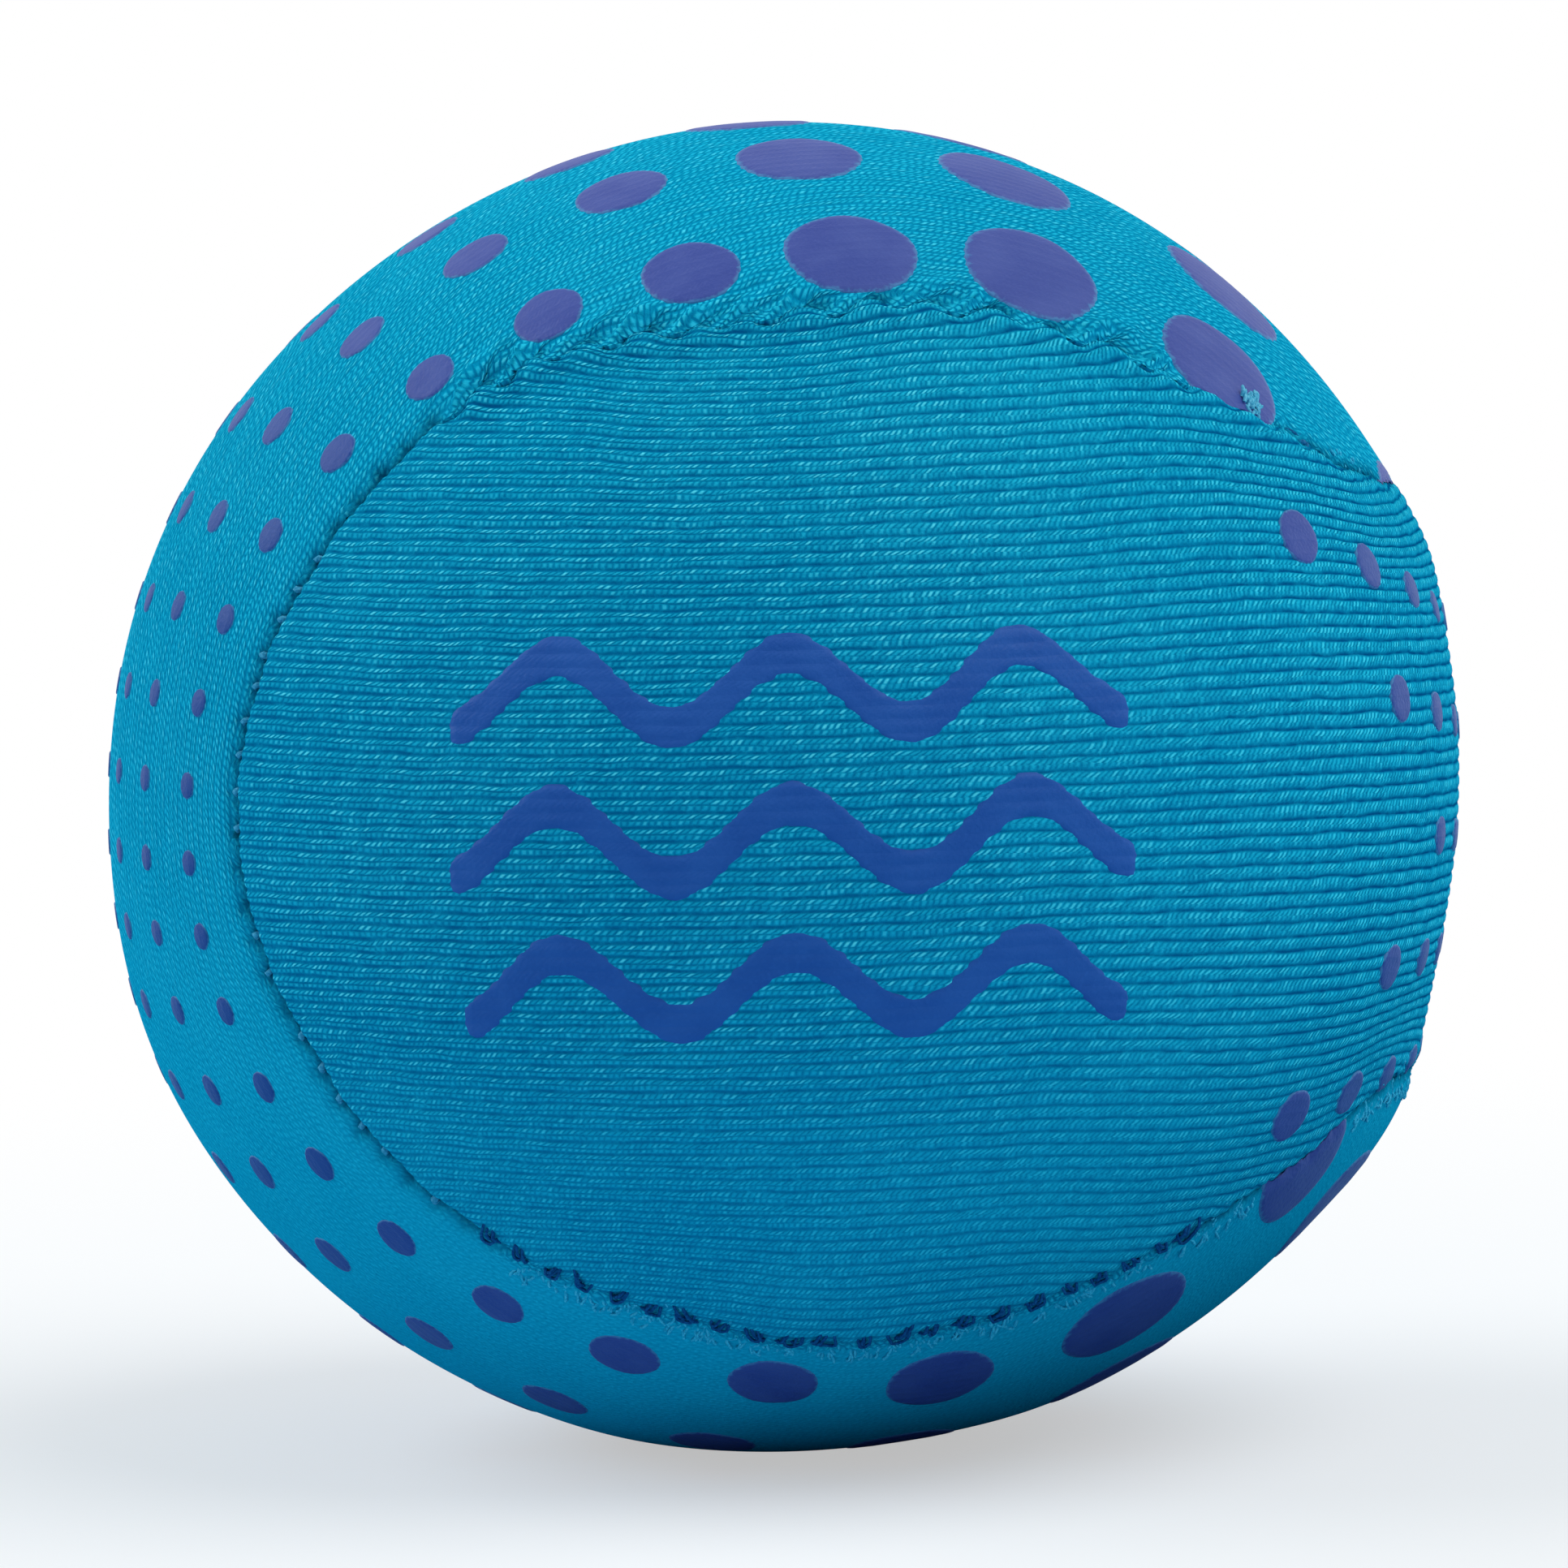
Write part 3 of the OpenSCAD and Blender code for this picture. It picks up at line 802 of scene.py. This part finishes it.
def drawn_stitches():
    """Small pale beads where the needle thread pulls through the tight seam."""
    shown = 0.9 * seam_stretch(297, 333, 3)
    shown = shown + 0.4 * seam_stretch(80, 108, 3) + 0.4 * seam_stretch(218, 244, 3)
    paths = []
    for at in STITCH_PLACES:
        if rng.uniform() > shown[seam_index(at)]:
            continue
        places = at + np.array([-0.1, -0.06, 0, 0.06, 0.1])
        across = np.array([-0.46, -0.36, -0.24, -0.12, 0.0]) + rng.normal(0, 0.04)
        depth = np.array([0.7, 0.36, 0.22, 0.2, 0.5])
        paths.append(seam_points(places, across, depth))
    return paths


def closing_loops():
    """Hand stitches that close the last of the seam."""
    paths = []
    for at in np.arange(*HAND_SEAM, HAND_STEP):
        places = at + np.array([0, 0.1, 0.6, 1.1, 1.2])
        across = np.array([-0.5, -0.36, 0, 0.3, 0.4])
        paths.append(seam_points(places, across, np.array([0.9, 0.38, 0.3, 0.3, 0.9])))
    return paths


def closing_knot():
    """Turns of thread drawn into a knot at the end of the hand stitches."""
    paths = []
    angle = np.linspace(0, 2 * math.pi, 9)
    for k in range(3):
        tilt = rng.uniform(0, math.pi)
        places = KNOT_AT + 0.34 * np.cos(angle) + 0.12 * (k - 1)
        across = -0.2 + 0.3 * np.sin(angle) * math.cos(tilt)
        depth = 0.2 + 0.26 * np.sin(angle) * math.sin(tilt)
        paths.append(seam_points(places, across, depth))
    for end in (-1, 1):
        places = KNOT_AT + np.array([0, 0.3, 0.7, 1.1]) * end
        across = np.array([-0.2, -0.45, -0.6, -0.5])
        paths.append(seam_points(places, across, np.array([0.2, 0.05, 0.2, 0.35])))
    return paths


def loose_fibres(count, stretch, across, length, lift=0.0, over_print=False):
    """Frayed ends across a stretch of the seam, which stay clear of the print unless told otherwise."""
    paths = []
    for _ in range(count):
        at = rng.uniform(*stretch)
        foot = rng.uniform(*across)
        reach = rng.uniform(*length) * rng.choice([-1, 1])
        lean = rng.normal(0, 0.5)
        bend = rng.normal(0, 0.2)
        places = at + np.array([0, 0.5 * lean + bend, lean]) * abs(reach)
        sides = foot + np.array([0, 0.55, 1.0]) * reach
        low = 0.3 * bell(sides, 0.6)
        depth = low + np.array([0.1, -0.1, -0.02]) - rng.uniform(0, 0.08) - lift
        path = seam_points(places, sides, depth)
        if over_print or printed(unit(path), TOP_BOTTOM).max() < 0.3:
            paths.append(path)
    return paths


# Materials

# Scales of the noise in the finishes, per metre
FIBRE_SCALE, PATCH_SCALE, UNEVEN_SCALE = 6500, 130, 1100
GRAIN_SCALE, INK_CLOUD_SCALE = 5200, 420
TWIST_SCALE, GEL_CLOUD_SCALE = 9000, 90

# Heights of the bumps in the finishes, in metres
KNIT_BUMP, INK_BUMP, TWIST_BUMP = 0.00014, 0.00005, 0.00004

# Colours that do not change from one panel or print to another
# The first is painted shade for the seam's groove and for the pockets and hollows beside it
PAINTED_GROOVE_SHADE = (0.0, 0.03, 0.09, 1)
THIN_INK = (0.003, 0.06, 0.27, 1)
GEL_DEEP, GEL_PALE = (0.62, 0.66, 0.6, 1), (0.8, 0.82, 0.78, 1)


class Nodes:
    """Places nodes in a node tree and joins them up."""

    def __init__(self, tree):
        self.tree = tree

    def add(self, kind, inputs=None, **settings):
        node = self.tree.nodes.new(kind)
        for key, value in settings.items():
            setattr(node, key, value)
        self.fill(node, inputs or {})
        return node

    def fill(self, node, inputs):
        """Sets a node's inputs, by their names or numbers, to values or to other nodes' outputs."""
        for key, value in inputs.items():
            if isinstance(value, bpy.types.NodeSocket):
                self.tree.links.new(value, node.inputs[key])
            else:
                node.inputs[key].default_value = value

    def math(self, operation, *values):
        return self.add("ShaderNodeMath", dict(enumerate(values)), operation=operation).outputs[0]

    def times(self, first, second):
        return self.math("MULTIPLY", first, second)

    def line(self, value, slope, start):
        """A value times its slope, from a start."""
        return self.math("MULTIPLY_ADD", value, slope, start)

    def ramp(self, value, low, high):
        inputs = {"Value": value, "From Min": low, "From Max": high}
        return self.add("ShaderNodeMapRange", inputs, interpolation_type="SMOOTHSTEP").outputs[0]

    def mix(self, factor, first, second):
        """A colour between two."""
        inputs = {0: factor, 6: first, 7: second}
        return self.add("ShaderNodeMix", inputs, data_type="RGBA").outputs[2]

    def blend(self, factor, first, second):
        """A number between two."""
        inputs = {0: factor, 2: first, 3: second}
        return self.add("ShaderNodeMix", inputs, data_type="FLOAT").outputs[0]

    def noise(self, vector, scale, detail):
        inputs = {"Vector": vector, "Scale": scale, "Detail": detail}
        return self.add("ShaderNodeTexNoise", inputs).outputs[0]

    def attribute(self, name):
        return self.add("ShaderNodeAttribute", attribute_name=name).outputs["Fac"]

    def bump(self, height, strength, distance):
        inputs = {"Height": height, "Strength": strength, "Distance": distance}
        return self.add("ShaderNodeBump", inputs).outputs[0]


def material_nodes(name):
    """New material, with what its nodes are placed by, its shader, and places on the piece."""
    material = bpy.data.materials.new(name)
    material.use_nodes = True
    nodes = Nodes(material.node_tree)
    shader = material.node_tree.nodes["Principled BSDF"]
    here = nodes.add("ShaderNodeTexCoord").outputs["Object"]
    return material, nodes, shader, here


KNIT_INPUTS, KNIT_OUTPUTS = ("Wale", "Course", "Parting"), ("Height", "Ridge", "Stroke", "Pick")


def knit_loops_group():
    """Loops of the knit by its wale and course numbers: pairs of strands made of slanting strokes."""
    group = bpy.data.node_groups.new("knit_loops", "ShaderNodeTree")
    for in_out, names in (("INPUT", KNIT_INPUTS), ("OUTPUT", KNIT_OUTPUTS)):
        for name in names:
            group.interface.new_socket(name=name, in_out=in_out, socket_type="NodeSocketFloat")
    n = Nodes(group)
    given = n.add("NodeGroupInput")
    result = n.add("NodeGroupOutput")
    wale, course, parting = (given.outputs[name] for name in KNIT_INPUTS)

    # The wales waver a little, and each is two strands, the upper one at the larger part
    spot = n.add("ShaderNodeCombineXYZ", {
        "X": n.times(course, 0.13),
        "Y": n.times(wale, 0.6),
    }).outputs[0]
    drift = n.math("SUBTRACT", n.noise(spot, 1.0, 1.0), 0.5)
    row = n.line(drift, 0.4, wale)
    part = n.math("FRACT", row)
    twice = n.times(row, 2.0)
    middle = n.math("SUBTRACT", n.math("FRACT", twice), 0.5)
    number = n.math("FLOOR", twice)
    upper = n.math("GREATER_THAN", part, 0.5)

    # Strokes slant across their strand, and each strand starts at a place of its own
    shuffle = n.add("ShaderNodeTexWhiteNoise", {"W": number}, noise_dimensions="1D").outputs["Value"]
    phase = n.line(middle, n.line(upper, 0.7, 0.5), course)
    phase = n.line(shuffle, 3.0, phase)
    phase = n.line(drift, 1.5, phase)
    off = n.math("SUBTRACT", n.math("FRACT", phase), 0.5)
    stroke = n.math("COSINE", n.times(off, math.pi))
    stroke = n.math("MAXIMUM", stroke, n.line(upper, -0.25, 0.25))

    # Round wales, split between their strands by the parting, and lower on their under side: painted shade
    # on that side, less where the wale parts
    whole = n.math("POWER", n.math("SINE", n.times(part, math.pi)), 0.6)
    strand = n.math("COSINE", n.times(middle, math.pi))
    parted = n.times(n.math("SUBTRACT", 1.0, strand), parting)
    shade = n.line(parting, 0.32, -0.4)
    under = n.line(n.ramp(part, 0.5, 0.05), shade, 1.0)
    ridge = n.times(whole, n.line(parted, -0.85, 1.0))
    ridge = n.times(ridge, under)

    # A random share for each stroke, smaller on the lower strand: painted shade there, and painted
    # highlights more on the upper strand
    cell = n.add("ShaderNodeCombineXYZ", {"X": n.math("FLOOR", phase), "Y": number}).outputs[0]
    pick = n.add("ShaderNodeTexWhiteNoise", {"Vector": cell}, noise_dimensions="2D").outputs["Value"]
    pick = n.times(pick, n.line(upper, 0.3, 0.7))

    height = n.times(ridge, n.line(stroke, 0.5, 0.5))
    height = n.times(height, n.line(pick, 0.3, 0.7))
    n.fill(result, dict(zip(KNIT_OUTPUTS, (height, ridge, stroke, pick))))
    return group


def knit_loops(n, loops, across="wale", along="course"):
    """The loops' outputs, fed with a piece's numbers across and along its wales."""
    knit = n.add("ShaderNodeGroup", {
        "Wale": n.attribute(across),
        "Course": n.attribute(along),
        "Parting": n.attribute("parting"),
    }, node_tree=loops)
    return [knit.outputs[name] for name in KNIT_OUTPUTS]


def knit_material(name, loops, deep, body, light, highlight, even=0.0, gathered=False):
    """Stretch knit: painted shade between the wales, and strokes of yarn along them with painted highlights.

    An even knit has grains of like tone in place of plain lines. A gathered one has its tucks drawn in.
    """
    material, n, shader, here = material_nodes(name)
    parting, relief, groove = n.attribute("parting"), n.attribute("relief"), n.attribute("groove")
    height, ridge, stroke, pick = knit_loops(n, loops)
    if gathered:
        tuck = n.attribute("tuck")
        drawn = knit_loops(n, loops, "gather", "drawn")
        height, ridge, stroke, pick = [
            n.blend(tuck, *pair) for pair in zip((height, ridge, stroke, pick), drawn)]
        relief = n.math("MAXIMUM", relief, n.times(tuck, 0.9))
    fibre = n.noise(here, FIBRE_SCALE, 3.0)
    patch = n.noise(here, PATCH_SCALE, 2.0)
    uneven = n.ramp(n.noise(here, UNEVEN_SCALE, 1.0), 0.3, 0.7)
    apart = n.ramp(parting, 0.1, 0.5)

    # Painted shade in the valleys between the wales and in the gaps between the strokes
    valley = n.math("SUBTRACT", 1.0, n.ramp(ridge, 0.1, 0.7))
    valley = n.times(valley, n.line(uneven, 0.5, 0.65 - 0.25 * even))
    gap = n.math("SUBTRACT", 1.0, n.ramp(stroke, 0.15 * even, 0.6 + 0.2 * even))
    gap = n.times(gap, n.line(apart, 0.45 + 0.25 * even, 0.3))
    dark = n.math("MAXIMUM", valley, gap)
    dark = n.times(dark, n.line(relief, 0.9, 0.1))

    # Painted highlight along the middle of each stroke
    glint = n.times(n.ramp(stroke, 0.45, 1.0), n.ramp(ridge, 0.4, 0.8))
    lively = n.line(n.ramp(pick, 0.3, 0.9), 0.6 - 0.3 * even, 0.4 + 0.4 * even)
    glint = n.times(glint, lively)
    glint = n.times(glint, n.line(relief, 0.8, 0.1))

    # Tone of the yarn, and a painted highlight, a spark, on some strokes
    tone = n.mix(n.times(n.ramp(patch, 0.3, 0.7), 0.12), body, light)
    tone = n.mix(n.times(n.ramp(fibre, 0.5, 0.8), 0.4), tone, light)
    tone = n.mix(n.times(n.ramp(fibre, 0.5, 0.2), 0.35), tone, deep)
    dull = n.times(relief, 0.4 - 0.25 * even)
    tone = n.mix(n.times(n.ramp(pick, 0.5, 0.0), dull), tone, deep)
    if gathered:
        tone = n.mix(n.times(tuck, 0.15), tone, light)
    spark = n.times(n.ramp(pick, 0.45, 1.0), n.ramp(stroke, 0.6, 1.0))
    raised = n.times(n.ramp(ridge, 0.5, 0.8), n.ramp(relief, 0.35, 0.7))
    spark = n.times(spark, raised)
    spark = n.times(spark, n.line(apart, 0.65, 0.35))

    colour = n.mix(dark, tone, deep)
    colour = n.mix(glint, colour, light)
    colour = n.mix(n.times(spark, 0.65), colour, highlight)
    # Painted shade in the seam's groove, in the pockets between gathers and in the hollows between ruffles
    colour = n.mix(n.times(groove, 0.85), colour, PAINTED_GROOVE_SHADE)
    height = n.times(height, relief)
    height = n.line(fibre, 0.45, height)
    normal = n.bump(height, 0.9, KNIT_BUMP)
    n.fill(shader, {"Base Color": colour, "Normal": normal, "Roughness": 0.75, "Specular IOR Level": 0.0})
    return material


def ink_material(name, loops, body, pale, fringe):
    """Rubbery print over the loops of the knit: fine grain, frayed at the rim, bluer on thin small dots."""
    material, n, shader, here = material_nodes(name)
    rim, thin = n.attribute("rim"), n.attribute("thin")
    loop = knit_loops(n, loops)[0]
    grain = n.noise(here, GRAIN_SCALE, 3.0)
    cloud = n.noise(here, INK_CLOUD_SCALE, 2.0)
    tone = n.mix(n.times(n.ramp(cloud, 0.3, 0.7), 0.5), body, pale)
    tone = n.mix(n.times(n.ramp(grain, 0.45, 0.8), 0.4), tone, pale)
    tone = n.mix(n.times(thin, 0.85), tone, THIN_INK)
    frayed = n.line(n.math("SUBTRACT", grain, 0.5), 0.12, rim)
    frayed = n.line(n.math("SUBTRACT", loop, 0.5), -0.06, frayed)
    colour = n.mix(n.times(n.ramp(frayed, 0.92, 1.0), 0.75), tone, fringe)
    rough = n.line(grain, 0.2, 0.45)
    normal = n.bump(n.line(loop, 0.6, grain), 0.6, INK_BUMP)
    n.fill(shader, {"Base Color": colour, "Normal": normal, "Roughness": rough, "Specular IOR Level": 0.2})
    return material


def thread_material(name, dark, light):
    """Twisted sewing thread."""
    material, n, shader, here = material_nodes(name)
    twist = n.noise(here, TWIST_SCALE, 2.0)
    colour = n.mix(n.ramp(twist, 0.3, 0.7), dark, light)
    normal = n.bump(twist, 0.6, TWIST_BUMP)
    n.fill(shader, {"Base Color": colour, "Normal": normal, "Roughness": 0.7, "Specular IOR Level": 0.08})
    return material


def gel_material(name):
    """Milky gel with faint clouds."""
    material, n, shader, here = material_nodes(name)
    cloud = n.noise(here, GEL_CLOUD_SCALE, 3.0)
    n.fill(shader, {"Base Color": n.mix(cloud, GEL_DEEP, GEL_PALE), "Roughness": 0.35})
    return material


loops = knit_loops_group()
# Each knit's deep colour serves its darker fibres and painted shade, its light colour its lighter fibres and
# painted highlights, and its last colour painted sparks only
front_knit = knit_material(
    "front_knit", loops,
    deep=(0.0, 0.11, 0.28, 1), body=(0.002, 0.34, 0.55, 1),
    light=(0.03, 0.72, 0.92, 1), highlight=(0.18, 0.9, 1.0, 1),
)
top_knit = knit_material(
    "top_knit", loops,
    deep=(0.0, 0.19, 0.39, 1), body=(0.003, 0.41, 0.62, 1),
    light=(0.03, 0.68, 0.9, 1), highlight=(0.1, 0.8, 0.96, 1),
    even=1.0, gathered=True,
)
dot_ink = ink_material(
    "dot_ink", loops,
    body=(0.04, 0.066, 0.3, 1), pale=(0.076, 0.108, 0.365, 1), fringe=(0.08, 0.28, 0.52, 1),
)
wave_ink = ink_material(
    "wave_ink", loops,
    body=(0.016, 0.09, 0.37, 1), pale=(0.03, 0.125, 0.44, 1), fringe=(0.03, 0.26, 0.55, 1),
)
seam_thread = thread_material("seam_thread", (0.0, 0.05, 0.19, 1), (0.006, 0.12, 0.33, 1))
closing_thread = thread_material("closing_thread", (0.0, 0.09, 0.24, 1), (0.01, 0.17, 0.38, 1))
pale_thread = thread_material("pale_thread", (0.06, 0.42, 0.62, 1), (0.2, 0.62, 0.8, 1))
bead_thread = thread_material("bead_thread", (0.02, 0.27, 0.47, 1), (0.09, 0.45, 0.66, 1))
edge_finish = thread_material("edge_finish", (0.01, 0.08, 0.18, 1), (0.02, 0.14, 0.27, 1))
fibre_finish = thread_material("fibre_finish", (0.01, 0.4, 0.62, 1), (0.08, 0.62, 0.84, 1))
gel = gel_material("gel")


# Pieces of the ball

def gel_core(material):
    """Gel ball just under the cover, with a groove where the seam is turned in."""
    under, groove_depth, groove_floor, groove_edge = 0.9, 2.6, 0.8, 1.9
    bm = bmesh.new()
    bmesh.ops.create_icosphere(bm, subdivisions=6, radius=1)
    verts = list(bm.verts)
    dirs = np.array([v.co[:] for v in verts])
    _, room = seam_room(dirs, FRONT_BACK)
    groove = 1 - smooth_step(groove_floor, groove_edge, np.abs(room))
    radius = BALL_R - under + lumps(dirs) - groove_depth * groove
    set_points(verts, rest_flat(dirs * radius[:, None]))
    return finish_piece("gel_ball", bm, material, "gel", "gel_core")


core = gel_core(gel)
front_back_cover = knit_panel("front_back_cover", FRONT_BACK, front_knit, "front_back_panel")
top_bottom_cover = knit_panel("top_bottom_cover", TOP_BOTTOM, top_knit, "top_bottom_panel")

for part, (panel, dots) in DOT_PRINTS.items():
    dot_piece(part + "_dot_print", panel, dots, dot_ink, part + "_grip_dots")
wave_piece("front_wave_print", wave_ink, "front_grip_waves")
thread_piece("needle_stitches", "needle_thread",
             (thread_mesh("bare", bare_loops(), LOOP_R), seam_thread),
             (thread_mesh("drawn", drawn_stitches(), BEAD_R), bead_thread))
tuft = loose_fibres(*TUFT, lift=TUFT_LIFT, over_print=True)
thread_piece("closing_stitches", "closing_thread",
             (thread_mesh("closing", closing_loops(), HAND_R), closing_thread),
             (thread_mesh("knot", closing_knot(), HAND_R), closing_thread),
             (thread_mesh("tuft", tuft, TUFT_R), pale_thread))
frayed = [path for ends in FRAYED for path in loose_fibres(*ends)]
add_piece("seam_fibres", thread_mesh("seam_fibres", frayed, FIBRE_R), fibre_finish, "knit")

# The edge thread inside keeps its CAD shape
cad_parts["edge_thread"].data.materials.clear()
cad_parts["edge_thread"].data.materials.append(edge_finish)


# Floor, light and camera

# The floor in metres: its half width, the middle of the ball's painted shadow on it, and where each change
# fades.
# SHADOW_WHITE is the share of white in the shadow that the camera sees.
FLOOR_HALF = 30.0
PAINTED_SHADOW_MIDDLE = (0.015, -0.004, REST_Z * MM)
PAINTED_SHADOW_FADE, WHITE_FADE, GLOSS_FADE = (0.01, 0.034), (0.03, 0.16), (0.06, 0.25)
SHADOW_WHITE = 0.5
FLOOR_PAINTED_SHADOW, FLOOR_BOUNCE = (0.02, 0.1, 0.17, 1), (0.32, 0.64, 0.8, 1)
FLOOR_PALE, WHITE = (0.9, 0.9, 0.9, 1), (1, 1, 1, 1)

# The world's light on the ball: its strength beside white, and its tint
WORLD_LIGHT, WORLD_TINT = 0.32, (0.6, 0.85, 1.0, 1)


def seen_rays(n, gloss):
    """1 for the rays that show the studio itself: to the camera, through something clear, and in a gloss."""
    path = n.add("ShaderNodeLightPath")
    seen = n.math("MAXIMUM", path.outputs["Is Camera Ray"], path.outputs["Is Transmission Ray"])
    return n.math("MAXIMUM", seen, n.times(path.outputs["Is Glossy Ray"], gloss))


def studio_floor():
    """Pale floor: white away from the ball to the camera; darker to the light it sends back, with a painted
    shadow of the ball.
    """
    bm = bmesh.new()
    bmesh.ops.create_grid(bm, x_segments=2, y_segments=2, size=FLOOR_HALF)
    bmesh.ops.translate(bm, vec=(0, 0, REST_Z * MM), verts=bm.verts)
    mesh = mesh_of(bm, "floor")
    floor = new_object("floor", mesh)
    material = bpy.data.materials.new("floor")
    material.use_nodes = True
    n = Nodes(material.node_tree)
    n.tree.nodes.clear()
    here = n.add("ShaderNodeTexCoord").outputs["Object"]
    away = n.add("ShaderNodeVectorMath", {0: here}, operation="LENGTH").outputs["Value"]
    seen = seen_rays(n, n.ramp(away, *GLOSS_FADE))
    white = n.add("ShaderNodeEmission", {"Color": WHITE, "Strength": 1.0}).outputs[0]
    pale = n.add("ShaderNodeBsdfDiffuse", {"Color": FLOOR_PALE}).outputs[0]
    # Painted shadow of the ball, only in the light that the floor sends back to the ball
    near = n.add("ShaderNodeVectorMath", {0: here, 1: PAINTED_SHADOW_MIDDLE}, operation="DISTANCE").outputs["Value"]
    shade = n.mix(n.ramp(near, *PAINTED_SHADOW_FADE), FLOOR_PAINTED_SHADOW, FLOOR_BOUNCE)
    dim = n.add("ShaderNodeBsdfDiffuse", {"Color": shade}).outputs[0]
    shown = n.add("ShaderNodeMixShader", {0: n.ramp(away, *WHITE_FADE), 1: pale, 2: white}).outputs[0]
    shown = n.add("ShaderNodeMixShader", {0: SHADOW_WHITE, 1: shown, 2: white}).outputs[0]
    both = n.add("ShaderNodeMixShader", {0: seen, 1: dim, 2: shown}).outputs[0]
    n.add("ShaderNodeOutputMaterial", {"Surface": both})
    mesh.materials.append(material)


def sun(name, azimuth, elevation, strength, spread):
    """Soft sun that shines on the ball from an azimuth and an elevation."""
    data = bpy.data.lights.new(name, "SUN")
    data.energy = strength
    data.angle = math.radians(spread)
    lamp = new_object(name, data)
    lamp.rotation_mode = "QUATERNION"
    lamp.rotation_quaternion = facing(azimuth, elevation)


def studio_world():
    """White world to the camera and in a gloss, and a dimmer, bluer light on the ball."""
    world = bpy.data.worlds.new("studio")
    world.use_nodes = True
    n = Nodes(world.node_tree)
    n.tree.nodes.clear()
    seen = seen_rays(n, 1.0)
    strength = n.line(seen, 1 - WORLD_LIGHT, WORLD_LIGHT)
    tint = n.mix(seen, WORLD_TINT, WHITE)
    light = n.add("ShaderNodeBackground", {"Color": tint, "Strength": strength})
    n.add("ShaderNodeOutputWorld", {"Surface": light.outputs[0]})
    bpy.context.scene.world = world


def studio_camera():
    """Camera that looks at the ball's centre from the photograph's side."""
    data = bpy.data.cameras.new("camera")
    data.lens = LENS
    data.sensor_width = SENSOR_W
    data.clip_start, data.clip_end = 0.01, 100
    camera = new_object("camera", data)
    camera.rotation_mode = "QUATERNION"
    camera.rotation_quaternion = VIEW_TURN
    camera.location = VIEW_TURN @ Vector((0, 0, VIEW_DISTANCE * MM))
    bpy.context.scene.camera = camera


studio_floor()
studio_world()
sun("left", azimuth=-116, elevation=36, strength=1.6, spread=50)
sun("right", azimuth=55, elevation=58, strength=1.6, spread=50)
sun("low", azimuth=105, elevation=8, strength=0.65, spread=60)
studio_camera()
bpy.context.scene.view_settings.view_transform = "Standard"
